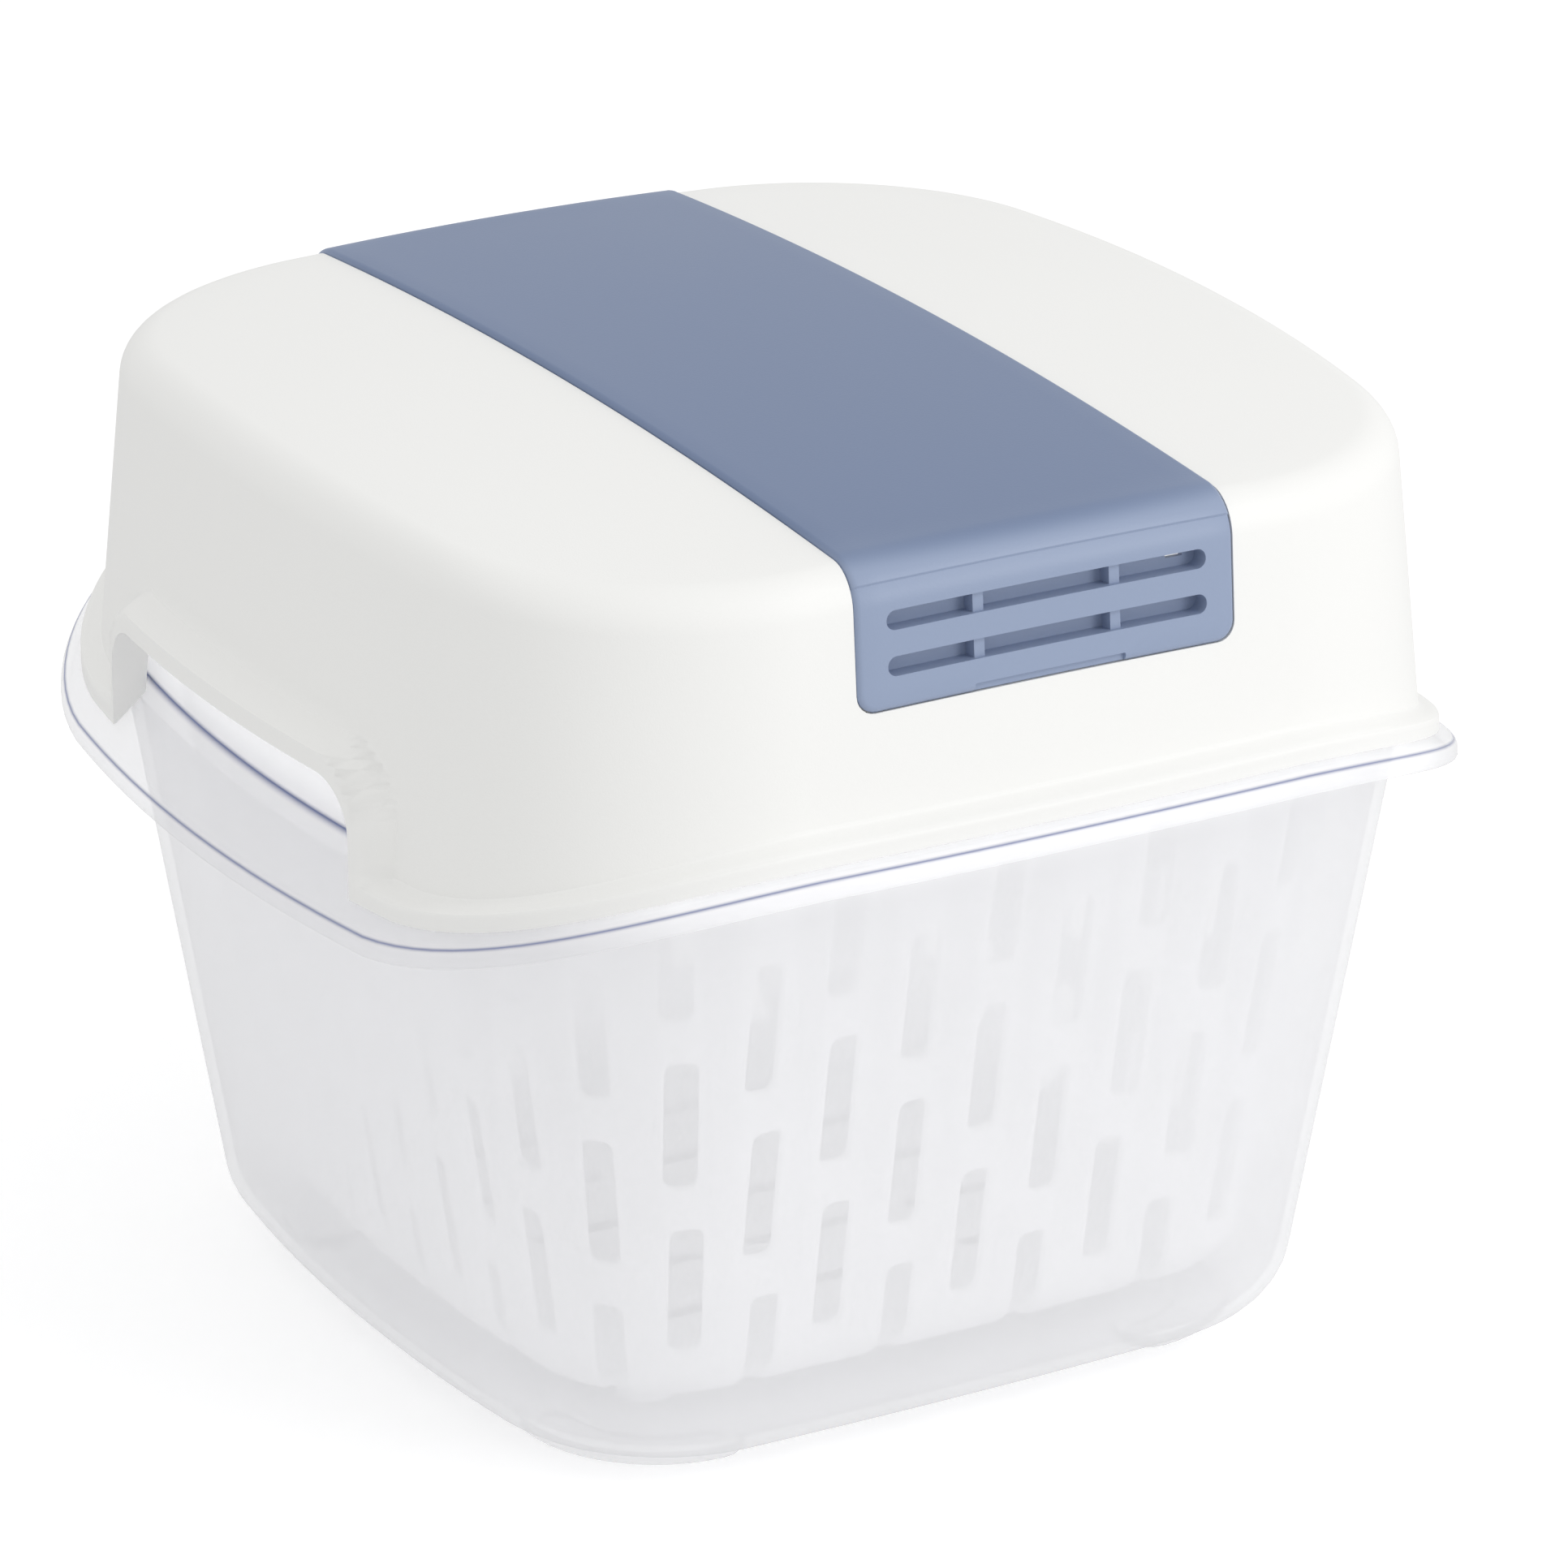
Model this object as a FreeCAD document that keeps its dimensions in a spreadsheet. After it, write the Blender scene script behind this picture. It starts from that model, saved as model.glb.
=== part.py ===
# Food storage container: clear bin, strainer basket, white domed lid and a clip-on vent band.
#
# Frame: origin on the surface that the feet stand on, at the centre of the plan. X runs
# across the two grip sides, Y from the front grille (at -Y) to the rear one, Z up.
#
# Every moulding has the same kind of plan: four slightly bowed sides joined by four corner
# arcs. The rim that the lid sits on is level at the front and rear and dips at the grip
# sides, by the square of the X part of the plan's outward normal.
import FreeCAD, Part
import Sketcher
import os
from math import atan, atan2, cos, pi, radians, sin, sqrt, tan
from FreeCAD import Placement, Rotation, Vector

doc = FreeCAD.newDocument("FoodStorageContainer")

SIZES = [
    # bowed sides, shared by every plan outline
    ("bow_grip", 430.0, "radius of the bowed grip sides"),
    ("bow_front", 1400.0, "radius of the bowed front and rear sides"),
    # container wall
    ("foot_height", 3.0, "feet below the floor"),
    ("floor_thick", 2.5, "container floor"),
    ("wall_thick", 2.2, "container wall"),
    ("base_half_x", 94.0, "half width at the underside of the floor"),
    ("base_half_y", 93.4, "half depth at the underside of the floor"),
    ("base_corner", 42.0, "corner radius at the floor"),
    ("base_round", 14.0, "rounding between floor and wall"),
    ("rim_level", 138.8, "height of the flange edge at the front"),
    ("top_half_x", 115.4, "half width of the wall at rim_level"),
    ("top_half_y", 116.0, "half depth of the wall at rim_level"),
    ("top_corner", 60.0, "corner radius of the wall at rim_level"),
    # feet
    ("foot_centre", 50.0, "centre of a bean-shaped foot's curve, in X and in Y"),
    ("foot_radius", 24.0, "radius of a foot's curve"),
    ("foot_width", 14.0, "width of a foot"),
    ("foot_span", 84.0, "degrees that a foot's curve turns"),
    ("dimple_width", 8.0, "width of the dimple in a foot"),
    ("dimple_depth", 1.6, "depth of the dimple in a foot"),
    # collar and flange of the container
    ("collar_half_x", 111.6, "half width of the collar"),
    ("collar_half_y", 115.0, "half depth of the collar"),
    ("collar_corner", 57.0, "corner radius of the collar"),
    ("collar_thick", 2.0, "collar wall"),
    ("collar_top", 14.0, "collar's top above rim_level"),
    ("collar_lean", 1.3, "collar's top further in than its root"),
    ("flange_half_x", 126.7, "half width over the flange"),
    ("flange_half_y", 125.6, "half depth over the flange"),
    ("flange_corner", 71.0, "corner radius of the flange"),
    ("flange_thick", 2.2, "flange and skirt wall"),
    ("flange_bend", 2.8, "outer radius where the flange turns down"),
    ("skirt_thick", 1.8, "skirt's lower edge"),
    ("skirt_drop", 4.4, "skirt's lower edge below the flange edge"),
    ("root_rise", 2.0, "flange root above the flange edge, at the front"),
    ("edge_dip", 19.5, "dip of the flange edge at the grip sides"),
    ("root_dip", 15.2, "dip of the flange root at the grip sides"),
    # lid
    ("lid_thick", 2.6, "lid wall"),
    ("lid_low_half_x", 117.0, "half width of the lid wall at lid_low below rim_level"),
    ("lid_low_half_y", 120.4, "half depth of the lid wall there"),
    ("lid_low_corner", 62.0, "corner radius of the lid wall there"),
    ("lid_low", 22.0, "depth below rim_level where the lid's lower outline is given"),
    ("lid_top_half_x", 110.0, "half width of the lid wall at lid_high"),
    ("lid_top_half_y", 113.4, "half depth of the lid wall at lid_high"),
    ("lid_top_corner", 56.0, "corner radius of the lid wall at lid_high"),
    ("lid_high", 64.0, "height above rim_level where the lid's upper outline is given"),
    ("crown_level", 201.0, "top of the lid's crown"),
    ("crown_radius", 1500.0, "radius of the lid's crown"),
    ("shoulder_round", 9.0, "rounding of the lid's shoulder"),
    ("lip_half_x", 121.2, "half width over the lid's lip"),
    ("lip_half_y", 122.2, "half depth over the lid's lip"),
    ("lip_corner", 66.0, "corner radius of the lid's lip"),
    ("lip_seat", 0.3, "gap between the lip and the flange under it"),
    ("lip_edge", 2.2, "height of the lip's edge"),
    ("lip_ramp", 4.4, "height of the soft ramp above the lip's edge"),
    # cut-outs in the lid's grip sides
    ("notch_half", 48.0, "half length of a side cut-out"),
    ("notch_top", 5.2, "cut-out's upper edge above rim_level"),
    ("notch_corner", 11.0, "corner radius of a cut-out"),
    ("bead_width", 8.0, "width of the bead round a cut-out, at the wall"),
    ("bead_face", 2.2, "width of the bead's outer face"),
    # vent band
    ("band_half", 41.8, "half width of the band"),
    ("band_low", 168.8, "lower end of the band"),
    ("band_proud", 1.1, "band above the lid's surface"),
    ("band_sunk", 1.3, "depth of the lid's recess under the band"),
    ("band_gap", 0.25, "gap at the band's sides and lower ends"),
    ("band_rest", 0.1, "gap between the band and the recess under it"),
    ("slot_half", 35.4, "half length of a vent slot"),
    ("slot_tall", 3.3, "height of a vent slot"),
    ("slot_level", 184.8, "centre height of the upper slot"),
    ("slot_pitch", 9.2, "distance between the two slots"),
    ("slot_deep", 4.6, "depth of a slot behind the grille face"),
    ("post_place", 15.1, "distance of a post from the middle"),
    ("post_wide", 2.3, "width of a post"),
    ("post_set_back", 1.4, "posts behind the grille face"),
    ("box_half", 37.6, "half width of the grille's box behind the face"),
    ("box_margin", 2.6, "box beyond the slots, above and below"),
    ("box_wall", 1.2, "back wall of the grille's box"),
    ("window_gap", 0.3, "gap between the grille's box and the window in the lid"),
    ("hole_place", 30.6, "distance of the vent hole from the middle"),
    ("hole_wide", 4.0, "width of the vent hole"),
    ("pry_half", 16.7, "half length of the prying notch in the band's lower edge"),
    ("pry_deep", 0.8, "depth of the prying notch"),
    ("pry_tall", 1.6, "height of the prying notch"),
    # strainer basket
    ("basket_gap", 8.8, "gap between the basket and the container's wall"),
    ("basket_wall", 1.8, "basket wall and floor"),
    ("basket_floor", 13.5, "underside of the basket's floor"),
    ("basket_top", 138.0, "top of the basket"),
    ("basket_round", 11.0, "rounding between the basket's floor and wall"),
    ("basket_rim", 4.4, "reach of the basket's out-turned rim"),
    ("basket_rim_thick", 2.0, "thickness of the basket's rim"),
    ("leg_clear", 0.3, "gap between the basket's legs and the container's floor"),
    ("leg_place", 56.0, "distance of a leg from the middle, in X and in Y"),
    ("leg_diameter", 12.0, "diameter of a leg"),
    ("slit_columns", 40.0, "columns of slits round the basket"),
    ("slit_wide", 7.0, "width of a slit"),
    ("slit_tall", 28.8, "height of a slit"),
    ("slit_pitch", 38.2, "distance between slits in a column"),
    ("slit_level", 61.1, "centre height of the middle slit in an odd column"),
    ("slit_shift", 18.3, "slits of an even column higher than those of an odd one"),
    ("slit_corner", 2.2, "corner radius of a slit"),
    ("drain_pitch_x", 38.0, "distance between drain slits in the floor, along X"),
    ("drain_pitch_y", 22.0, "distance between drain slits in the floor, along Y"),
]

CORNER_STEPS = 6
SIDE_STEPS = 4
ROUND_STEPS = 4
SHOULDER_STEPS = 5
CROWN_SHARES = (0.7, 0.4, 0.15)
SLIT_DEPTH = 18.0  # how far a slit's prism reaches across the wall
FAR = 200.0  # half length of a block that has to reach past the whole lid

sheet = doc.addObject("Spreadsheet::Sheet", "Sizes")
for row, (alias, value, note) in enumerate(SIZES, start=1):
    sheet.set("A" + str(row), alias)
    sheet.set("B" + str(row), str(value))
    sheet.set("C" + str(row), note)
    sheet.setAlias("B" + str(row), alias)
doc.recompute()


def size(alias):
    """Return one driving size from the sheet."""
    return float(sheet.get(alias))


class Outline:
    """Plan of four bowed sides and four corner arcs, all tangent."""

    def __init__(self, half_x, half_y, corner):
        self.half_x, self.half_y, self.corner = half_x, half_y, corner
        self.bow_x, self.bow_y = size("bow_grip"), size("bow_front")
        # centres of the right side, of the rear side and of the corner between them
        self.side_x = Vector(half_x - self.bow_x, 0, 0)
        self.side_y = Vector(0, half_y - self.bow_y, 0)
        reach_x, reach_y = self.bow_x - corner, self.bow_y - corner
        apart = (self.side_y - self.side_x).Length
        along = (reach_x**2 - reach_y**2 + apart**2) / (2 * apart)
        aside = sqrt(reach_x**2 - along**2)
        way = (self.side_y - self.side_x).normalize()
        across = Vector(-way.y, way.x, 0)
        self.corner_centre = self.side_x + way * along + across * aside
        self.turn_x = atan2(self.corner_centre.y, self.corner_centre.x - self.side_x.x)
        self.turn_y = atan2(self.corner_centre.y - self.side_y.y, self.corner_centre.x)

    def grown(self, by):
        """Return the outline parallel to this one, further out by a distance."""
        return Outline(self.half_x + by, self.half_y + by, self.corner + by)

    def arcs(self):
        """Return centre, radius and start and end angle of the eight arcs, in order."""
        first, last = self.turn_x, self.turn_y
        c = self.corner_centre
        return [
            (self.side_x, self.bow_x, -first, first),
            (c, self.corner, first, last),
            (self.side_y, self.bow_y, last, pi - last),
            (Vector(-c.x, c.y, 0), self.corner, pi - last, pi - first),
            (-self.side_x, self.bow_x, pi - first, pi + first),
            (-c, self.corner, pi + first, pi + last),
            (-self.side_y, self.bow_y, pi + last, 2 * pi - last),
            (Vector(c.x, -c.y, 0), self.corner, 2 * pi - last, 2 * pi - first),
        ]

    def wire(self, level):
        """Return the outline as one closed wire at a height."""
        edges = []
        for centre, radius, start, end in self.arcs():
            circle = Part.Circle(centre + Vector(0, 0, level), Vector(0, 0, 1), radius)
            edges.append(Part.ArcOfCircle(circle, start, end).toShape())
        return Part.Wire(edges)

    def rim_points(self, level, dip):
        """Return points round the outline, lowered at the grip sides by the dip."""
        points = []
        for centre, radius, start, end in self.arcs():
            steps = CORNER_STEPS if radius == self.corner else SIDE_STEPS
            for step in range(steps):
                turn = start + (end - start) * step / steps
                height = level - dip * cos(turn) ** 2
                points.append(centre + Vector(radius * cos(turn), radius * sin(turn), height))
        return points

    def length(self):
        """Return the length round the outline."""
        return sum(radius * (end - start) for _, radius, start, end in self.arcs())

    def place(self, distance):
        """Return the point and outward angle at a distance round, from the middle of +X."""
        left = (distance + self.bow_x * self.turn_x) % self.length()
        for centre, radius, start, end in self.arcs():
            run = radius * (end - start)
            if left <= run:
                turn = start + left / radius
                return centre + Vector(radius * cos(turn), radius * sin(turn), 0), turn
            left -= run
        return self.place(0.0)


def between(low, high, low_level, high_level, level):
    """Return the outline at a level of a wall that tapers between two outlines."""
    share = (level - low_level) / (high_level - low_level)
    return Outline(
        low.half_x + (high.half_x - low.half_x) * share,
        low.half_y + (high.half_y - low.half_y) * share,
        low.corner + (high.corner - low.corner) * share,
    )


def feature(name, shape):
    """Add a shape to the document as a Part feature."""
    item = doc.addObject("Part::Feature", name)
    item.Shape = shape
    return item


def boolean(kind, name, base, tool):
    """Add a Part cut or common of two objects."""
    item = doc.addObject("Part::" + kind, name)
    item.Base = base
    item.Tool = tool
    return item


def fuse(name, items):
    """Add a Part fusion of several objects."""
    item = doc.addObject("Part::MultiFuse", name)
    item.Shapes = items
    return item


def origin_plane(body, role):
    """Return one of a body's own origin planes or axes."""
    return [f for f in body.Origin.OriginFeatures if f.Role == role][0]


def outline_sketch(body, name, level, half_x, half_y, corner):
    """Draw a bowed outline in a body, each of its sizes bound to the sheet."""
    sketch = body.newObject("Sketcher::SketchObject", name)
    sketch.AttachmentSupport = (origin_plane(body, "XY_Plane"), [""])
    sketch.MapMode = "FlatFace"
    sketch.setExpression(".AttachmentOffset.Base.z", level)
    values = [float(sketch.evalExpression(text)) for text in (half_x, half_y, corner)]
    outline = Outline(*values)
    for centre, radius, start, end in outline.arcs():
        circle = Part.Circle(centre, Vector(0, 0, 1), radius)
        sketch.addGeometry(Part.ArcOfCircle(circle, start, end), False)
    for arc in range(8):
        sketch.addConstraint(Sketcher.Constraint("Tangent", arc, 2, (arc + 1) % 8, 1))
    for first, others in ((0, (4,)), (1, (3, 5, 7)), (2, (6,))):
        for other in others:
            sketch.addConstraint(Sketcher.Constraint("Equal", first, other))
    for arc, axis in ((0, -1), (4, -1), (2, -2), (6, -2)):
        sketch.addConstraint(Sketcher.Constraint("PointOnObject", arc, 3, axis))
    offset_x = outline.bow_x - outline.half_x
    offset_y = outline.bow_y - outline.half_y
    bound = [
        (("Radius", 0, outline.bow_x), "Sizes.bow_grip"),
        (("Radius", 1, outline.corner), corner),
        (("Radius", 2, outline.bow_y), "Sizes.bow_front"),
        (("DistanceX", 0, 3, -1, 1, offset_x), "Sizes.bow_grip - (" + half_x + ")"),
        (("DistanceX", -1, 1, 4, 3, offset_x), "Sizes.bow_grip - (" + half_x + ")"),
        (("DistanceY", 2, 3, -1, 1, offset_y), "Sizes.bow_front - (" + half_y + ")"),
        (("DistanceY", -1, 1, 6, 3, offset_y), "Sizes.bow_front - (" + half_y + ")"),
    ]
    for arguments, expression in bound:
        index = sketch.addConstraint(Sketcher.Constraint(*arguments))
        sketch.setExpression("Constraints[" + str(index) + "]", expression)
    return sketch


def taper(low, high, low_level, high_level, level):
    """Return the text of a size that changes evenly with height."""
    share = "(({}) - ({})) / (({}) - ({}))".format(level, low_level, high_level, low_level)
    return "{} + ({} - {}) * {}".format(low, high, low, share)


def wall_section(level, inwards):
    """Return the texts of the container wall's outline at a height, moved inwards."""
    texts = []
    for name in ("half_x", "half_y", "corner"):
        low, high = "Sizes.base_" + name, "Sizes.top_" + name
        text = taper(low, high, "Sizes.foot_height", "Sizes.rim_level", level)
        texts.append(text + " - (" + inwards + ")")
    return texts


def rounded_sections(floor, radius, inwards, top):
    """Return levels and insets of a wall that rounds into its floor."""
    slope = (size("top_half_x") - size("base_half_x")) / (size("rim_level") - size("foot_height"))
    lean = atan(slope)
    sections = []
    for step in range(ROUND_STEPS + 1):
        turn = (pi / 2 - lean) * step / ROUND_STEPS
        rise = 1 - cos(turn)
        inset = (1 - sin(lean)) / cos(lean) - sin(turn) + slope * rise
        level = "{} + ({}) * {:.6f}".format(floor, radius, rise)
        sections.append((level, "{} + ({}) * {:.6f}".format(inwards, radius, inset)))
    sections.append((top, inwards))
    return sections


def loft(body, name, kind, sections):
    """Loft a body through the wall's outline at several levels and insets."""
    sketches = []
    for number, (level, inwards) in enumerate(sections):
        sketch = outline_sketch(body, name + str(number), level, *wall_section(level, inwards))
        sketches.append(sketch)
    item = body.newObject("PartDesign::" + kind, name)
    item.Profile = sketches[0]
    item.Sections = sketches[1:]
    item.Ruled = True
    doc.recompute()
    return item


def pad(body, name, kind, sketch, length, reverse=False):
    """Pad or pocket a sketch by a length bound to the sheet."""
    item = body.newObject("PartDesign::" + kind, name)
    item.Profile = sketch
    item.setExpression("Length", length)
    item.Reversed = reverse
    doc.recompute()
    return item


def four_round(body, name, repeated):
    """Repeat a feature four times about the upright axis."""
    item = body.newObject("PartDesign::PolarPattern", name)
    item.Originals = [repeated]
    item.Axis = (origin_plane(body, "Z_Axis"), [""])
    item.Angle = 360
    item.Occurrences = 4
    body.Tip = item
    doc.recompute()
    return item


def level_sketch(body, name, level):
    """Return an empty sketch that lies level at a height."""
    sketch = body.newObject("Sketcher::SketchObject", name)
    sketch.AttachmentSupport = (origin_plane(body, "XY_Plane"), [""])
    sketch.MapMode = "FlatFace"
    sketch.setExpression(".AttachmentOffset.Base.z", level)
    return sketch


def bind(sketch, bound):
    """Add constraints whose values follow the sheet."""
    for arguments, expression in bound:
        index = sketch.addConstraint(Sketcher.Constraint(*arguments))
        sketch.setExpression("Constraints[" + str(index) + "]", expression)


def bean_sketch(body, name, level, width):
    """Draw a bean: a curved slot that follows a corner of the floor."""
    sketch = level_sketch(body, name, level)
    place, radius = size("foot_centre"), size("foot_radius")
    half = float(sketch.evalExpression(width)) / 2
    spread = radians(size("foot_span")) / 2
    start, end = pi / 4 - spread, pi / 4 + spread
    centre, upright = Vector(place, place, 0), Vector(0, 0, 1)
    ends = [centre + Vector(radius * cos(turn), radius * sin(turn), 0) for turn in (start, end)]
    arcs = [
        (centre, radius + half, start, end),
        (ends[1], half, end, end + pi),
        (centre, radius - half, start, end),
        (ends[0], half, start + pi, start + 2 * pi),
    ]
    for middle, reach, begin, stop in arcs:
        sketch.addGeometry(Part.ArcOfCircle(Part.Circle(middle, upright, reach), begin, stop), False)
    joins = [(0, 2, 1, 1), (1, 2, 2, 2), (2, 1, 3, 1), (3, 2, 0, 1)]
    for join in joins:
        sketch.addConstraint(Sketcher.Constraint("Coincident", *join))
    sketch.addConstraint(Sketcher.Constraint("Coincident", 0, 3, 2, 3))
    bind(sketch, [
        (("DistanceX", -1, 1, 0, 3, place), "Sizes.foot_centre"),
        (("DistanceY", -1, 1, 0, 3, place), "Sizes.foot_centre"),
        (("Radius", 0, radius + half), "Sizes.foot_radius + ({}) / 2".format(width)),
        (("Radius", 2, radius - half), "Sizes.foot_radius - ({}) / 2".format(width)),
    ])
    return sketch


def make_bin():
    """Container wall and floor with its feet, up to a little above the flange."""
    body = doc.addObject("PartDesign::Body", "bin_body")
    top = "Sizes.rim_level + Sizes.root_rise"
    outer = rounded_sections("Sizes.foot_height", "Sizes.base_round", "0", top)
    loft(body, "bin_outside", "AdditiveLoft", outer)
    plan = bean_sketch(body, "foot_plan", "0", "Sizes.foot_width")
    foot = pad(body, "foot", "Pad", plan, "Sizes.foot_height + Sizes.floor_thick / 2")
    four_round(body, "feet", foot)
    floor, radius = "Sizes.foot_height + Sizes.floor_thick", "Sizes.base_round - Sizes.wall_thick"
    inner = rounded_sections(floor, radius, "Sizes.wall_thick", top)
    loft(body, "bin_inside", "SubtractiveLoft", inner)
    plan = bean_sketch(body, "dimple_plan", "0", "Sizes.dimple_width")
    dimple = pad(body, "dimple", "Pocket", plan, "Sizes.dimple_depth", True)
    four_round(body, "dimples", dimple)
    return body


def ring_marks(points):
    """Return the running length at each of a closed row of points."""
    marks = [0.0]
    for here, after in zip(points, points[1:] + points[:1]):
        marks.append(marks[-1] + (after - here).Length)
    return marks


def ring_edge(points, marks):
    """Return a smooth closed curve through points."""
    curve = Part.BSplineCurve()
    curve.interpolate(Points=points, PeriodicFlag=True, Parameters=marks)
    return curve.toShape()


def closed_solid(faces):
    """Join faces into one solid that faces outwards."""
    shell = Part.makeShell(faces)
    shell.sewShape()
    solid = Part.makeSolid(shell)
    if solid.Volume < 0:
        solid.reverse()
    return solid


def swept_ring(name, section):
    """Build a ring from a section of (outline, level, dip) corners, swept round the plan."""
    marks = ring_marks(section[0][0].rim_points(0, 0))
    edges = [ring_edge(o.rim_points(level, dip), marks) for o, level, dip in section]
    pairs = zip(edges, edges[1:] + edges[:1])
    return feature(name, closed_solid([Part.makeRuledSurface(*pair) for pair in pairs]))


def collar_outline():
    return Outline(size("collar_half_x"), size("collar_half_y"), size("collar_corner"))


def flange_outline():
    return Outline(size("flange_half_x"), size("flange_half_y"), size("flange_corner"))


def lip_outline():
    return Outline(size("lip_half_x"), size("lip_half_y"), size("lip_corner"))


def flange_dip(half_x):
    """Return how far the flange's upper face dips at a half width."""
    root = size("collar_half_x")
    bend = size("flange_half_x") - size("flange_bend")
    share = (half_x - root) / (bend - root)
    return size("root_dip") + (size("edge_dip") - size("root_dip")) * share


def make_flange():
    """Collar, sloping flange and turned-down skirt of the container, in one ring."""
    collar, flange = collar_outline(), flange_outline()
    thick, bend = size("flange_thick"), size("flange_bend")
    root = size("rim_level") + size("root_rise")
    root_dip, edge_dip = size("root_dip"), size("edge_dip")
    lean = size("collar_lean")
    skirt = size("rim_level") - size("skirt_drop")
    top = size("rim_level") + size("collar_top")
    inner = collar.grown(-size("collar_thick"))
    section = [
        (inner, root - 1.5 * thick, root_dip),
        (inner.grown(-lean), top, 0.0),
        (collar.grown(-lean), top, 0.0),
        (collar, root, root_dip),
        (flange.grown(-bend), root, edge_dip),
        (flange.grown(bend * (sin(pi / 4) - 1)), root - bend * (1 - cos(pi / 4)), edge_dip),
        (flange, root - bend, edge_dip),
        (flange, skirt, edge_dip),
        (flange.grown(-size("skirt_thick")), skirt, edge_dip),
        (flange.grown(-thick), root - bend, edge_dip),
        (flange.grown(-bend), root - thick, edge_dip),
        (collar.grown(thick), root - thick, root_dip),
    ]
    return swept_ring("container_rim", section)


def make_container():
    """Container: bin body below the flange, joined to the flange and collar."""
    body = make_bin()
    rim = make_flange()
    level = size("rim_level") + size("root_rise") - size("flange_thick") / 2
    far = size("rim_level") + 2 * size("collar_top")
    inner, outer = collar_outline().grown(-20), collar_outline().grown(12)
    dip = size("root_dip")
    section = [(inner, level, dip), (outer, level, dip), (outer, far, 0.0), (inner, far, 0.0)]
    wall = boolean("Cut", "bin_wall", body, swept_ring("bin_trim", section))
    return fuse("container", [wall, rim])


def wall_outline(level, inwards):
    """Return the container wall's outline at a height, moved inwards."""
    low = Outline(size("base_half_x"), size("base_half_y"), size("base_corner"))
    high = Outline(size("top_half_x"), size("top_half_y"), size("top_corner"))
    return between(low, high, size("foot_height"), size("rim_level"), level).grown(-inwards)


def rounded_bar(length, height, corner, depth):
    """Return a bar along X, centred, whose YZ section is a rounded rectangle."""
    half_y, half_z = length / 2 - corner, height / 2 - corner
    corners = [(half_y, half_z, 0), (-half_y, half_z, 1), (-half_y, -half_z, 2), (half_y, -half_z, 3)]
    edges, last = [], None
    for y, z, quarter in corners:
        points = []
        for part in (0, 0.5, 1):
            turn = (quarter + part) * pi / 2
            points.append(Vector(-depth / 2, y + corner * cos(turn), z + corner * sin(turn)))
        if last is not None and (points[0] - last).Length > 0.001:
            edges.append(Part.makeLine(last, points[0]))
        edges.append(Part.Arc(*points).toShape())
        last = points[2]
    first = edges[0].Vertexes[0].Point
    if (last - first).Length > 0.001:
        edges.append(Part.makeLine(last, first))
    return Part.Face(Part.Wire(edges)).extrude(Vector(depth, 0, 0))


def make_slits():
    """Slits of the basket: prisms across its wall, in columns that are staggered."""
    inwards = size("wall_thick") + size("basket_gap") + size("basket_wall") / 2
    columns = int(size("slit_columns"))
    bar = rounded_bar(size("slit_wide"), size("slit_tall"), size("slit_corner"), SLIT_DEPTH)
    bars = []
    for column in range(columns):
        middle = size("slit_level") + (column + 1) % 2 * size("slit_shift")
        for row in (-1, 0, 1):
            level = middle + row * size("slit_pitch")
            outline = wall_outline(level, inwards)
            point, turn = outline.place(outline.length() * column / columns)
            turned = Rotation(Vector(0, 0, 1), turn * 180 / pi)
            slit = bar.copy()
            slit.Placement = Placement(point + Vector(0, 0, level), turned)
            bars.append(slit)
    return feature("slits", Part.makeCompound(bars))


def make_drains():
    """Drain slits in the basket's floor."""
    bars = []
    bar = rounded_bar(size("slit_wide"), size("slit_tall"), size("slit_corner"), SLIT_DEPTH)
    turned = Rotation(Vector(0, 1, 0), 90)
    for across in (-1, 0, 1):
        for along in (-2, -1, 0, 1, 2):
            place = Vector(across * size("drain_pitch_x"), along * size("drain_pitch_y"), 0)
            slit = bar.copy()
            slit.Placement = Placement(place + Vector(0, 0, size("basket_floor")), turned)
            bars.append(slit)
    return feature("drains", Part.makeCompound(bars))


def make_basket():
    """Strainer basket: rounded body, out-turned rim, legs, and slits all round."""
    body = doc.addObject("PartDesign::Body", "basket_body")
    floor, gap = "Sizes.basket_floor", "Sizes.wall_thick + Sizes.basket_gap"
    outer = rounded_sections(floor, "Sizes.basket_round", gap, "Sizes.basket_top")
    loft(body, "basket_outside", "AdditiveLoft", outer)
    rim_low = "Sizes.basket_top - Sizes.basket_rim_thick"
    reach = "Sizes.wall_thick + Sizes.basket_gap - Sizes.basket_rim"
    loft(body, "basket_rim", "AdditiveLoft", [(rim_low, reach), ("Sizes.basket_top", reach)])
    plan = level_sketch(body, "leg_plan", "Sizes.foot_height + Sizes.floor_thick + Sizes.leg_clear")
    plan.addGeometry(Part.Circle(Vector(55, 55, 0), Vector(0, 0, 1), 6), False)
    bind(plan, [
        (("DistanceX", -1, 1, 0, 3, 55), "Sizes.leg_place"),
        (("DistanceY", -1, 1, 0, 3, 55), "Sizes.leg_place"),
        (("Radius", 0, 6), "Sizes.leg_diameter / 2"),
    ])
    rise = "Sizes.basket_floor - Sizes.foot_height - Sizes.floor_thick - Sizes.leg_clear"
    leg = pad(body, "leg", "Pad", plan, rise + " + Sizes.basket_wall / 2")
    four_round(body, "legs", leg)
    inner = rounded_sections(floor + " + Sizes.basket_wall", "Sizes.basket_round - Sizes.basket_wall",
                             gap + " + Sizes.basket_wall", "Sizes.basket_top")
    loft(body, "basket_inside", "SubtractiveLoft", inner)
    cuts = fuse("basket_cuts", [make_slits(), make_drains()])
    return boolean("Cut", "strainer_basket", body, cuts)


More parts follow.
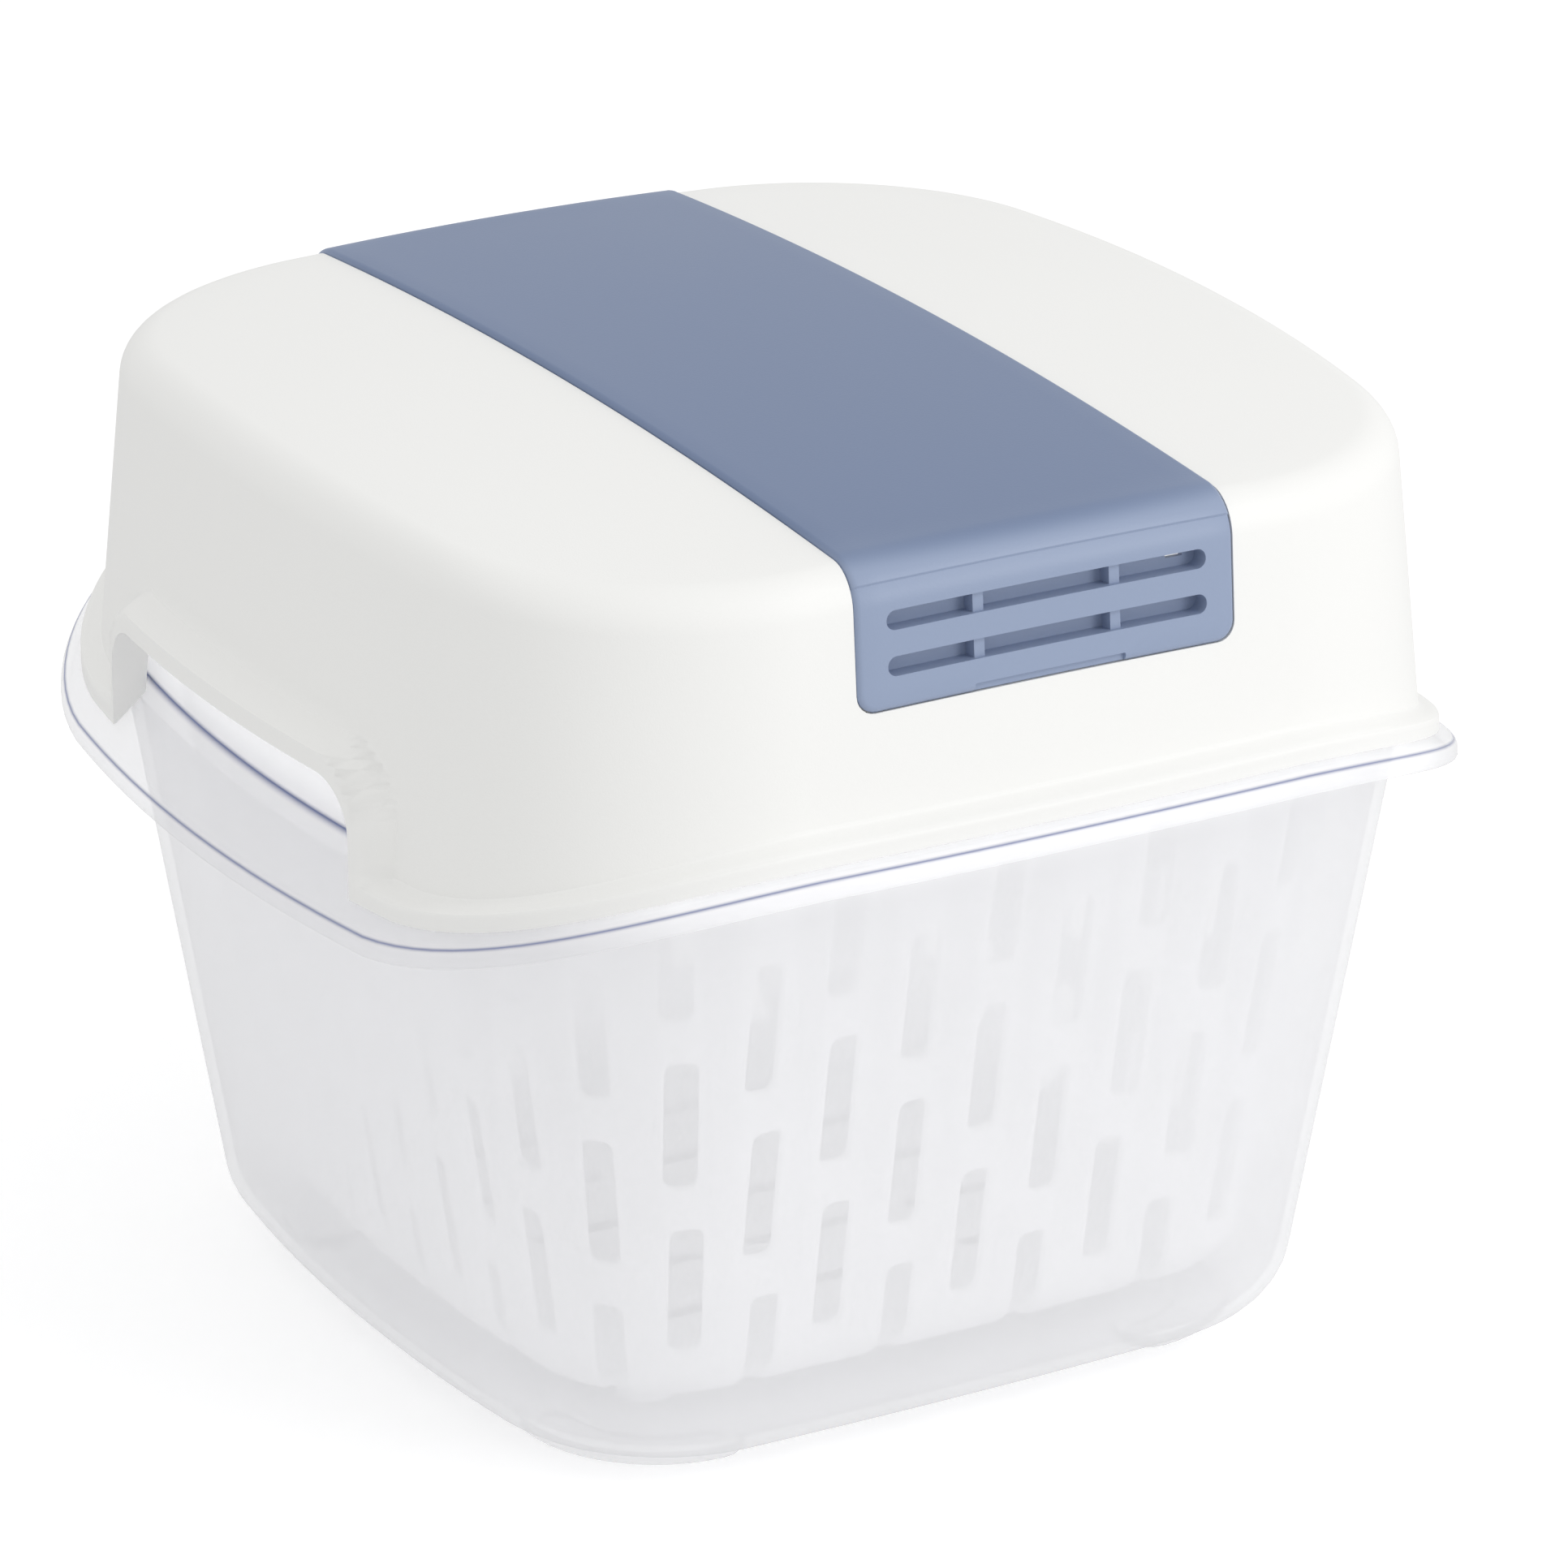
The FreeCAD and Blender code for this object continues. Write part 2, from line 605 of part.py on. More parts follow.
def lid_outline(level, inwards):
    """Return the lid wall's outline at a height, moved inwards."""
    low = Outline(size("lid_low_half_x"), size("lid_low_half_y"), size("lid_low_corner"))
    high = Outline(size("lid_top_half_x"), size("lid_top_half_y"), size("lid_top_corner"))
    low_level, high_level = size("rim_level") - size("lid_low"), size("rim_level") + size("lid_high")
    return between(low, high, low_level, high_level, level).grown(-inwards)


def make_dome(name, inwards):
    """Lid form moved inwards: drafted wall, rounded shoulder and crown, from below the lip."""
    foot = size("rim_level") - size("lid_low") - 10
    level = size("rim_level") + size("lid_high")
    low = lid_outline(foot, inwards).rim_points(foot, 0)
    high = lid_outline(level, inwards).rim_points(level, 0)
    crown, radius = size("crown_level") - inwards, size("crown_radius") - inwards
    turn = size("shoulder_round") - inwards
    rings = [low] + [[] for _ in range(SHOULDER_STEPS + 1)]
    for start, end in zip(low, high):
        # in the upright plane of the wall's slope line: distance u from the line's foot, and Z
        way = Vector(end.x - start.x, end.y - start.y, 0)
        lean = way.Length / (end.z - start.z)
        out = Vector(end.x, end.y, 0).normalize() if way.Length < 1e-6 else way.normalize() * -1
        height = crown - start.z
        for _ in range(4):
            spot = Vector(start.x, start.y, 0) - out * (lean * height)
            height = crown - (spot.x**2 + spot.y**2) / (2 * radius) - start.z
        slope = (spot.x * out.x + spot.y * out.y) / radius
        wall_turn, crown_turn = atan(lean), pi / 2 - atan(slope)
        # tangent point distance along both lines from where they meet
        reach = turn * tan((crown_turn - wall_turn) / 2)
        touch = spot + Vector(0, 0, start.z + height) + out * (reach * sin(wall_turn))
        touch = touch - Vector(0, 0, reach * cos(wall_turn))
        centre = touch - out * (turn * cos(wall_turn)) - Vector(0, 0, turn * sin(wall_turn))
        for step in range(SHOULDER_STEPS + 1):
            angle = wall_turn + (crown_turn - wall_turn) * step / SHOULDER_STEPS
            rings[step + 1].append(centre + out * (turn * cos(angle)) + Vector(0, 0, turn * sin(angle)))
    edge = rings[-1]
    for share in CROWN_SHARES[:-1]:
        ring = []
        for point in edge:
            x, y = point.x * share, point.y * share
            ring.append(Vector(x, y, crown - (x**2 + y**2) / (2 * radius)))
        rings.append(ring)
    share = CROWN_SHARES[-1]
    level = crown - (share * size("lid_top_half_x")) ** 2 / (2 * radius)
    rings.append([Vector(point.x * share, point.y * share, level) for point in edge])
    marks = ring_marks(low)
    edges = [ring_edge(ring, marks) for ring in rings]
    faces = [Part.makeRuledSurface(*pair) for pair in zip(edges, edges[1:])]
    faces += [Part.Face(Part.Wire([edges[0]])), Part.Face(Part.Wire([edges[-1]]))]
    return feature(name, closed_solid(faces))


def block(name, half_x, low, high):
    """Add a box centred in plan, between two heights, that runs past the lid along Y."""
    item = doc.addObject("Part::Box", name)
    item.Length, item.Width, item.Height = 2 * half_x, 2 * FAR, high - low
    item.Placement.Base = Vector(-half_x, -FAR, low)
    return item


def make_lip():
    """Soft lip round the lid's lower edge."""
    lip = lip_outline()
    rim = size("rim_level")
    low = rim + size("root_rise") + size("lip_seat")
    ramp = low + size("lip_edge") + size("lip_ramp")
    within = lid_outline(rim, 0.6 * size("lid_thick"))
    dip = flange_dip(size("lip_half_x"))
    inner_dip = flange_dip(within.half_x)
    below = low - size("lip_edge")
    section = [
        (within, below, inner_dip),
        (lip, below, dip),
        (lip, low + size("lip_edge"), dip),
        (lip.grown(-1.0), low + size("lip_edge") + 0.2 * size("lip_ramp"), dip),
        (lid_outline(rim, 0.6), ramp, dip),
        (within, ramp, inner_dip),
    ]
    return swept_ring("lip_ring", section)


def make_lid_trim():
    """Space below the lid's lower edge, which follows the flange."""
    lip = lip_outline()
    low = size("rim_level") + size("root_rise") + size("lip_seat")
    far = size("rim_level") - size("lid_low") - 25
    inner, outer = lip.grown(-25), lip.grown(12)
    inner_dip, outer_dip = flange_dip(inner.half_x), flange_dip(outer.half_x)
    section = [(inner, low, inner_dip), (outer, low, outer_dip), (outer, far, 0.0), (inner, far, 0.0)]
    return swept_ring("lid_trim", section)


def rounded_wire(x, half, top, low, corner):
    """Return a closed wire at a place along X: a cut-out's outline with rounded upper corners."""
    lean = corner * (1 - sqrt(0.5))
    left, right = -half, half
    points = [
        Vector(x, left, low), Vector(x, left, top - corner),
        Vector(x, left + lean, top - lean), Vector(x, left + corner, top),
        Vector(x, right - corner, top), Vector(x, right - lean, top - lean),
        Vector(x, right, top - corner), Vector(x, right, low),
    ]
    return Part.Wire([
        Part.makeLine(points[0], points[1]),
        Part.Arc(points[1], points[2], points[3]).toShape(),
        Part.makeLine(points[3], points[4]),
        Part.Arc(points[4], points[5], points[6]).toShape(),
        Part.makeLine(points[6], points[7]),
        Part.makeLine(points[7], points[0]),
    ])


def make_bead(name, side):
    """Raised bead round a cut-out, between the lid's wall and the lip's face."""
    rim, half, corner = size("rim_level"), size("notch_half"), size("notch_corner")
    top, low = rim + size("notch_top"), rim - size("lid_low") - 12
    at_lip = (lip_outline().half_x, size("bead_face"))
    at_wall = (size("lid_top_half_x"), size("bead_width") + 3)
    wires = []
    for x, reach in (at_lip, at_wall):
        wires.append(rounded_wire(side * x, half + reach, top + reach, low, corner + reach))
    frustum = feature(name + "_taper", Part.makeLoft(wires, True, True))
    prism = Part.Face(lip_outline().wire(low)).extrude(Vector(0, 0, size("lid_high")))
    return boolean("Common", name, frustum, feature(name + "_limit", prism))


def make_notches():
    """Cut-outs of the lid's grip sides."""
    rim = size("rim_level")
    top, low = rim + size("notch_top"), rim - size("lid_low") - 14
    cuts = []
    for side in (-1, 1):
        wire = rounded_wire(side * 90, size("notch_half"), top, low, size("notch_corner"))
        cuts.append(Part.Face(wire).extrude(Vector(side * 60, 0, 0)))
    return feature("notches", Part.makeCompound(cuts))


def box_levels():
    """Return the lower and upper level of the grille's box."""
    margin = size("slot_tall") / 2 + size("box_margin")
    return size("slot_level") - size("slot_pitch") - margin, size("slot_level") + margin


def make_lid():
    """Lid: dome with lip and beads, cut for the collar, the grips and the band."""
    beads = [make_bead("bead_left", -1), make_bead("bead_right", 1)]
    solid = fuse("lid_solid", [make_dome("lid_outside", 0), make_lip()] + beads)
    hollow = boolean("Cut", "lid_hollow", solid, make_dome("lid_inside", size("lid_thick")))
    below = fuse("lid_below", [make_lid_trim(), make_notches()])
    cut = boolean("Cut", "lid_cut", hollow, below)
    gap = size("band_gap")
    strip = block("recess_strip", size("band_half") + gap, size("band_low") - gap, 230)
    core = make_dome("recess_core", size("band_sunk") + size("band_rest"))
    recess = boolean("Cut", "recess", strip, core)
    low, high = box_levels()
    gap = size("window_gap")
    window = block("windows", size("box_half") + gap, low - gap, high + gap)
    return boolean("Cut", "lid_shell", cut, fuse("lid_openings", [recess, window]))


def make_band():
    """Vent band: strap over the lid with a grille box at the front and the rear."""
    strip = block("band_strip", size("band_half"), size("band_low"), 230)
    outside = make_dome("band_outside", -size("band_proud"))
    strap = boolean("Common", "band_form", outside, strip)
    strap = boolean("Cut", "band_strap", strap, make_dome("band_core", size("band_sunk")))
    low, high = box_levels()
    depth = size("slot_deep") + size("box_wall") - size("band_proud")
    boxes = boolean("Common", "box_form", block("box_block", size("box_half"), low, high),
                    make_dome("box_outside", 0.2))
    boxes = boolean("Cut", "grille_boxes", boxes, make_dome("box_core", depth))
    solid = fuse("band_solid", [strap, boxes])
    return boolean("Cut", "vent_band", solid, make_slots())


def make_slots():
    """Vent slots, posts left standing, vent holes and prying notches, front and rear."""
    cuts = []
    for side in (-1, 1):
        for level in (size("slot_level"), size("slot_level") - size("slot_pitch")):
            face = lid_outline(level, -size("band_proud")).half_y
            radius = size("slot_tall") / 2
            shallow = rounded_bar(2 * size("slot_half"), size("slot_tall"), radius - 0.01, 20)
            turn = Rotation(Vector(0, 0, 1), side * 90)
            shallow.Placement = Placement(
                Vector(0, side * (face - size("post_set_back") + 10), level), turn)
            deep = rounded_bar(2 * size("slot_half"), size("slot_tall"), radius - 0.01, 20)
            deep.Placement = Placement(Vector(0, side * (face - size("slot_deep") + 10), level), turn)
            for place in (-size("post_place"), size("post_place")):
                post = Part.makeBox(size("post_wide"), 60, 2 * size("slot_tall"))
                post.Placement.Base = Vector(
                    place - size("post_wide") / 2, side * face - 30, level - size("slot_tall"))
                deep = deep.cut(post)
            cuts += [shallow, deep]
        hole = Part.makeBox(size("hole_wide"), 24, size("slot_tall") / 2)
        hole.Placement.Base = Vector(
            side * -1 * size("hole_place") - size("hole_wide") / 2, side * face - 12, size("slot_level"))
        cuts.append(hole)
        notch = Part.makeBox(2 * size("pry_half"), 20, size("pry_tall"))
        outer = lid_outline(size("band_low"), -size("band_proud")).half_y
        start = outer - size("pry_deep") if side > 0 else -outer + size("pry_deep") - 20
        notch.Placement.Base = Vector(-size("pry_half"), start, size("band_low") - 0.01)
        cuts.append(notch)
    return feature("slots", Part.makeCompound(cuts))


NODES = [make_container(), make_basket(), make_lid(), make_band()]
doc.recompute()
for item in doc.Objects:
    if "Invalid" in item.State or "Error" in item.State:
        raise RuntimeError(item.Name + " did not build")
os.makedirs("parts", exist_ok=True)
for node in NODES:
    if node.Shape.isNull() or not node.Shape.isValid() or len(node.Shape.Solids) != 1:
        raise RuntimeError(node.Name + " is not one valid solid")
    node.Shape.exportStep("parts/" + node.Label + ".step")
    print(node.Label, round(node.Shape.Volume / 1000, 1), "cm3")
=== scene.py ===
# %% [markdown]
# # A food storage container, dressed for the camera
#
# The real object is four plastic mouldings: a clear bin, a milky strainer basket inside it, a
# white domed lid, and a slate-blue vent band clipped over the lid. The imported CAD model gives
# their places and nearly all their sizes. Here each moulding is modelled again with a finer
# skin, because clear and satin plastic show every facet of a coarse mesh, and each gets its own
# finish.

# %% Load the frame
from math import asin, atan, atan2, cos, pi, radians, sin, sqrt, tan

import bmesh
import bpy
from mathutils import Matrix, Vector


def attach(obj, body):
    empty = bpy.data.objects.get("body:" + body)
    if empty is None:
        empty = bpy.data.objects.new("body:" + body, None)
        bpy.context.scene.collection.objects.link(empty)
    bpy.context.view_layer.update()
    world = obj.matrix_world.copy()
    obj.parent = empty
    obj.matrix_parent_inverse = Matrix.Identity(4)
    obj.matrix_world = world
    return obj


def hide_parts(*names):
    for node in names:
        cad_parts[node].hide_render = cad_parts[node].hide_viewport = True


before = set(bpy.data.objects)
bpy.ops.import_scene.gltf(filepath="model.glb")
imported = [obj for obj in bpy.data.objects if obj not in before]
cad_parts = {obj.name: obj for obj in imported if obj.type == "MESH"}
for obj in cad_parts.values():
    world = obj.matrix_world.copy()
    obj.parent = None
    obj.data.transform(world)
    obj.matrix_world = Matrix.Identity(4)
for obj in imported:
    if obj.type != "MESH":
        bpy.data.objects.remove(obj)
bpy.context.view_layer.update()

# %% [markdown]
# ## The plan that all four mouldings share
#
# Seen from above, each wall is a rounded square: four slightly bowed sides joined by four corner
# arcs, all tangent. One class works out points on that outline, always the same number of them
# on each arc, so outlines of different sizes can be joined point to point. The sizes are in
# millimetres here and become metres when a mesh is finished.

# %% Outline of a bowed, rounded square
BOW_GRIP = 430.0
BOW_FRONT = 1400.0


class Plan:
    """Points on a bowed, rounded square, each with the x part of its outward normal."""

    def __init__(self, half_x, half_y, corner):
        self.half_x, self.half_y, self.corner = half_x, half_y, corner
        side_x, side_y = Vector((half_x - BOW_GRIP, 0)), Vector((0, half_y - BOW_FRONT))
        reach_x, reach_y = BOW_GRIP - corner, BOW_FRONT - corner
        apart = (side_y - side_x).length
        along = (reach_x**2 - reach_y**2 + apart**2) / (2 * apart)
        way = (side_y - side_x).normalized()
        across = Vector((-way.y, way.x)) * sqrt(reach_x**2 - along**2)
        self.centre = side_x + way * along + across
        self.turn_x = atan2(self.centre.y, self.centre.x - side_x.x)
        self.turn_y = atan2(self.centre.y - side_y.y, self.centre.x)

    def grown(self, by):
        """Return the parallel outline, further out by a distance."""
        return Plan(self.half_x + by, self.half_y + by, self.corner + by)

    def spots(self, detail):
        """Return (x, y, turn) round the outline; detail is the steps on a quarter's arcs."""
        side, corner = detail
        c, first, last = self.centre, self.turn_x, self.turn_y
        right, rear = Vector((self.half_x - BOW_GRIP, 0)), Vector((0, self.half_y - BOW_FRONT))
        arcs = [
            (right, BOW_GRIP, -first, first, side),
            (c, self.corner, first, last, corner),
            (rear, BOW_FRONT, last, pi - last, side),
            (Vector((-c.x, c.y)), self.corner, pi - last, pi - first, corner),
            (-right, BOW_GRIP, pi - first, pi + first, side),
            (-c, self.corner, pi + first, pi + last, corner),
            (-rear, BOW_FRONT, pi + last, 2 * pi - last, side),
            (Vector((c.x, -c.y)), self.corner, 2 * pi - last, 2 * pi - first, corner),
        ]
        found = []
        for centre, radius, start, end, steps in arcs:
            for step in range(steps):
                turn = start + (end - start) * step / steps
                found.append((centre.x + radius * cos(turn), centre.y + radius * sin(turn), turn))
        return found


def ring(plan, level, dip, detail):
    """Return points round a plan at a height that dips at the grip sides."""
    return [Vector((x, y, level - dip * cos(turn) ** 2)) for x, y, turn in plan.spots(detail)]


print("corner centre of a plan 200 mm square:", Plan(100.0, 100.0, 50.0).centre)

# %% [markdown]
# ## Skins drawn as rings
#
# A moulding like this is a wall that runs round and round: underside, outer wall, rim, inner
# wall, floor. So the mesh starts as one circle of edges, whose points are moved onto the first
# ring, and is extruded ring by ring. An integer layer keeps each point's place in the row,
# because an extruded point copies the layer of the point that it came from. Feet, slits and
# windows are then joined on or cut out with booleans. All the skins are closed, so the Manifold
# solver can do that: it is quick and leaves no stray faces.

# %% Turn rings into a closed skin
MM = 0.001


def finish_piece(name, bm):
    """Make an object, in metres, of a mesh drawn in millimetres."""
    bmesh.ops.remove_doubles(bm, verts=bm.verts, dist=0.0001)
    bmesh.ops.recalc_face_normals(bm, faces=bm.faces)
    bmesh.ops.scale(bm, vec=(MM, MM, MM), verts=bm.verts)
    mesh = bpy.data.meshes.new(name)
    bm.to_mesh(mesh)
    bm.free()
    piece = bpy.data.objects.new(name, mesh)
    bpy.context.scene.collection.objects.link(piece)
    return piece


def skin(rings):
    """Extrude a circle of edges through rings of points and close both ends."""
    bm = bmesh.new()
    bmesh.ops.create_circle(bm, segments=len(rings[0]), radius=1)
    place = bm.verts.layers.int.new("place")
    bm.verts.ensure_lookup_table()
    for number, vert in enumerate(bm.verts):
        vert[place] = number
        vert.co = rings[0][number]
    loop = list(bm.edges)
    bmesh.ops.contextual_create(bm, geom=loop)
    for points in rings[1:]:
        grown = bmesh.ops.extrude_edge_only(bm, edges=loop)["geom"]
        for vert in grown:
            if isinstance(vert, bmesh.types.BMVert):
                vert.co = points[vert[place]]
        fresh = {item for item in grown if isinstance(item, bmesh.types.BMVert)}
        loop = [item for item in grown if isinstance(item, bmesh.types.BMEdge)
                and item.verts[0] in fresh and item.verts[1] in fresh]
    bmesh.ops.contextual_create(bm, geom=loop)
    return bm


def apply_boolean(piece, cutter, operation):
    """Cut or join two closed pieces and keep the result in the first one."""
    modifier = piece.modifiers.new("shape", "BOOLEAN")
    modifier.operation = operation
    modifier.solver = "MANIFOLD"
    modifier.object = cutter
    bpy.context.view_layer.update()
    shaped = piece.evaluated_get(bpy.context.evaluated_depsgraph_get())
    mesh = bpy.data.meshes.new_from_object(shaped)
    piece.modifiers.clear()
    piece.data = mesh
    bpy.data.objects.remove(cutter)
    print(piece.name, operation.lower(), len(mesh.polygons), "faces")


def smooth(piece, angle):
    """Shade a piece smooth except at edges sharper than an angle."""
    piece.data.shade_smooth()
    piece.data.set_sharp_from_angle(angle=radians(angle))


# %% [markdown]
# ## Sizes
#
# Most of these are the values of the CAD model's own sheet, in millimetres, for the mouldings'
# walls. A few were fitted to the photograph once more at the end: here the skirt, the dip of the
# flange's root and the lower outlines of lid and lip, and further down the cut-outs, the slots
# and how far the band stands proud.

# %% Sizes of the walls
FLOOR_LEVEL, FLOOR_THICK, WALL_THICK, BASE_ROUND = 3.0, 2.5, 2.2, 14.0
RIM, WALL_BREAK = 138.8, 34.0
BASE_PLAN, TOP_PLAN = (94.0, 93.4, 42.0), (115.4, 116.0, 60.0)
COLLAR_PLAN, COLLAR_THICK, COLLAR_TOP, COLLAR_LEAN = (111.6, 115.0, 57.0), 2.0, 14.0, 1.3
FLANGE_PLAN, FLANGE_THICK, FLANGE_BEND = (126.7, 125.6, 71.0), 2.2, 2.8
ROOT_ROUND, UNDER_ROUND = 1.3, 3.4
SKIRT_DROP, SKIRT_THICK = 2.8, 1.8
ROOT_RISE, EDGE_DIP, ROOT_DIP = 2.0, 19.5, 10.2
LID_LOW_PLAN, LID_TOP_PLAN = (118.0, 120.4, 59.6), (110.0, 113.4, 56.0)
LID_LOW, LID_HIGH, LID_THICK = 22.0, 64.0, 2.6
CROWN_LEVEL, CROWN_RADIUS, SHOULDER_ROUND = 201.0, 1500.0, 9.0
LIP_PLAN, LIP_SEAT, LIP_EDGE, LIP_RAMP = (121.6, 122.2, 64.6), 0.3, 3.6, 2.8


def mixed_plan(low, high, share, inwards):
    """Return the outline a share of the way between two, moved inwards."""
    return Plan(*(a + (b - a) * share - inwards for a, b in zip(low, high)))


def wall_plan(level, inwards):
    """Return the outline of the bin's wall at a level, moved inwards."""
    return mixed_plan(BASE_PLAN, TOP_PLAN, (level - FLOOR_LEVEL) / (RIM - FLOOR_LEVEL), inwards)


def lid_plan(level, inwards):
    """Return the outline of the lid's wall at a level, moved inwards."""
    share = (level - RIM + LID_LOW) / (LID_LOW + LID_HIGH)
    return mixed_plan(LID_LOW_PLAN, LID_TOP_PLAN, share, inwards)


def dipped_wall(plan_at, level, dip, inwards, detail):
    """Return a ring on a drafted wall, at a height that dips at the grip sides."""
    low, high = level - dip - 1, level + 1
    ends = [ring(plan_at(z, inwards), z, 0, detail) for z in (low, high)]
    turns = [turn for _, _, turn in plan_at(level, inwards).spots(detail)]
    found = []
    for start, end, turn in zip(*ends, turns):
        z = level - dip * cos(turn) ** 2
        found.append(start.lerp(end, (z - low) / (high - low)))
    return found


def flange_dip(half_x):
    """Return how far the flange's upper face dips at a half width."""
    root, bend = COLLAR_PLAN[0], FLANGE_PLAN[0] - FLANGE_BEND
    return ROOT_DIP + (EDGE_DIP - ROOT_DIP) * (half_x - root) / (bend - root)


def rounded_wall(floor, radius, inwards, detail, steps):
    """Return rings of the rounding between a floor and a container wall."""
    slope = (TOP_PLAN[0] - BASE_PLAN[0]) / (RIM - FLOOR_LEVEL)
    lean = atan(slope)
    rings = []
    for step in range(steps + 1):
        turn = (pi / 2 - lean) * step / steps
        rise = 1 - cos(turn)
        inset = (1 - sin(lean)) / cos(lean) - sin(turn) + slope * rise
        level = floor + radius * rise
        rings.append(ring(wall_plan(level, inwards + radius * inset), level, 0, detail))
    return rings


print("wall draft", round((TOP_PLAN[0] - BASE_PLAN[0]) / (RIM - FLOOR_LEVEL), 4))

# %% [markdown]
# ## The clear bin
#
# The bin is one injection moulding: floor, drafted wall, a flange that bends down into a skirt,
# and a collar that stands up inside the lid. Its rim is level at the front and rear and dips at
# the two grip sides. It could be a plain shell with a thickness modifier, but the flange, skirt
# and collar meet in one place, so the whole section is drawn as one run of rings. The four
# bean-shaped feet are joined on.

# %% Bin: rings from the underside, over the rim, to the inner floor
BIN_DETAIL = (16, 20)
ROOT = RIM + ROOT_RISE
COLLAR, FLANGE = Plan(*COLLAR_PLAN), Plan(*FLANGE_PLAN)
collar_inner = COLLAR.grown(-COLLAR_THICK)


def bend_rings(plan, centre_out, level, radius, dip, start, end, steps, detail):
    """Return rings of a rounded edge whose centre lies out from a plan at a level."""
    rings = []
    for step in range(steps + 1):
        turn = start + (end - start) * step / steps
        spot = plan.grown(centre_out + radius * cos(turn))
        rings.append(ring(spot, level + radius * sin(turn), dip, detail))
    return rings


under = ROOT - FLANGE_THICK
under_dip = flange_dip(COLLAR.half_x + UNDER_ROUND)
root_dip = flange_dip(COLLAR.half_x + ROOT_ROUND)
collar_head = RIM + COLLAR_TOP
half_skirt = SKIRT_THICK / 2
root_line = ring(COLLAR.grown(0.5), ROOT + 0.5, ROOT_DIP, BIN_DETAIL)
skirt_end = bend_rings(FLANGE, -half_skirt, RIM - SKIRT_DROP + half_skirt, half_skirt, EDGE_DIP,
                       -pi, 0, 5, BIN_DETAIL)
bend = bend_rings(FLANGE, -FLANGE_BEND, ROOT - FLANGE_BEND, FLANGE_BEND, EDGE_DIP,
                  0, pi / 2, 6, BIN_DETAIL)
inner_round = rounded_wall(FLOOR_LEVEL + FLOOR_THICK, BASE_ROUND - WALL_THICK, WALL_THICK,
                           BIN_DETAIL, 8)
bin_rings = [
    *rounded_wall(FLOOR_LEVEL, BASE_ROUND, 0, BIN_DETAIL, 8),
    dipped_wall(wall_plan, RIM - WALL_BREAK, 0, 0, BIN_DETAIL),
    dipped_wall(wall_plan, under - 2.0, ROOT_DIP, 0, BIN_DETAIL),
    ring(COLLAR.grown(UNDER_ROUND), under - 0.3, under_dip, BIN_DETAIL),
    ring(FLANGE.grown(-FLANGE_BEND - 1), under, EDGE_DIP, BIN_DETAIL),
    ring(FLANGE.grown(-FLANGE_THICK), ROOT - FLANGE_BEND - 0.4, EDGE_DIP, BIN_DETAIL),
    *skirt_end,
    *bend,
    ring(COLLAR.grown(ROOT_ROUND), ROOT, root_dip, BIN_DETAIL),
    root_line,
    ring(COLLAR, ROOT + ROOT_ROUND, ROOT_DIP, BIN_DETAIL),
    ring(COLLAR.grown(-COLLAR_LEAN), collar_head - 0.5, 0, BIN_DETAIL),
    ring(COLLAR.grown(-COLLAR_LEAN - 0.5), collar_head, 0, BIN_DETAIL),
    ring(collar_inner.grown(-COLLAR_LEAN), collar_head - 0.4, 0, BIN_DETAIL),
    ring(collar_inner, under, ROOT_DIP, BIN_DETAIL),
    dipped_wall(wall_plan, under - 3, ROOT_DIP, WALL_THICK, BIN_DETAIL),
    dipped_wall(wall_plan, RIM - WALL_BREAK, 0, WALL_THICK, BIN_DETAIL),
    *inner_round[::-1],
]
clear_bin = finish_piece("clear_bin", skin(bin_rings))

# %% Bin: four dimpled, bean-shaped feet
FOOT_PLACE, FOOT_RADIUS, FOOT_WIDTH, FOOT_SPAN = 50.0, 24.0, 14.0, radians(84)
DIMPLE_WIDTH, DIMPLE_DEPTH, FOOT_EDGE = 8.0, 1.6, 1.2


def bean(width, level, quarter):
    """Return a closed row of points round a slot that curves about a corner's centre."""
    half, spread = width / 2, FOOT_SPAN / 2
    middle = pi / 4 + quarter * pi / 2
    centre = Vector((FOOT_PLACE * sqrt(2) * cos(middle), FOOT_PLACE * sqrt(2) * sin(middle), level))
    points = []
    for step in range(13):
        turn = middle - spread + FOOT_SPAN * step / 12
        points.append(centre + Vector((cos(turn), sin(turn), 0)) * (FOOT_RADIUS + half))
    for end in (1, -1):
        turn = middle + end * spread
        tip = centre + Vector((cos(turn), sin(turn), 0)) * FOOT_RADIUS
        for step in range(1, 8):
            angle = turn + (0 if end > 0 else pi) + pi * step / 8
            points.append(tip + Vector((cos(angle), sin(angle), 0)) * half)
        if end > 0:
            for step in range(13):
                back = middle + spread - FOOT_SPAN * step / 12
                points.append(centre + Vector((cos(back), sin(back), 0)) * (FOOT_RADIUS - half))
    return points


for quarter in range(4):
    foot_rings = [
        bean(DIMPLE_WIDTH - FOOT_EDGE, DIMPLE_DEPTH, quarter),
        bean(DIMPLE_WIDTH, 0.4, quarter),
        bean(DIMPLE_WIDTH + 1.0, 0.0, quarter),
        bean(FOOT_WIDTH - FOOT_EDGE, 0.0, quarter),
        bean(FOOT_WIDTH, 0.7, quarter),
        bean(FOOT_WIDTH, FLOOR_LEVEL + FLOOR_THICK / 2, quarter),
    ]
    apply_boolean(clear_bin, finish_piece("foot", skin(foot_rings)), "UNION")

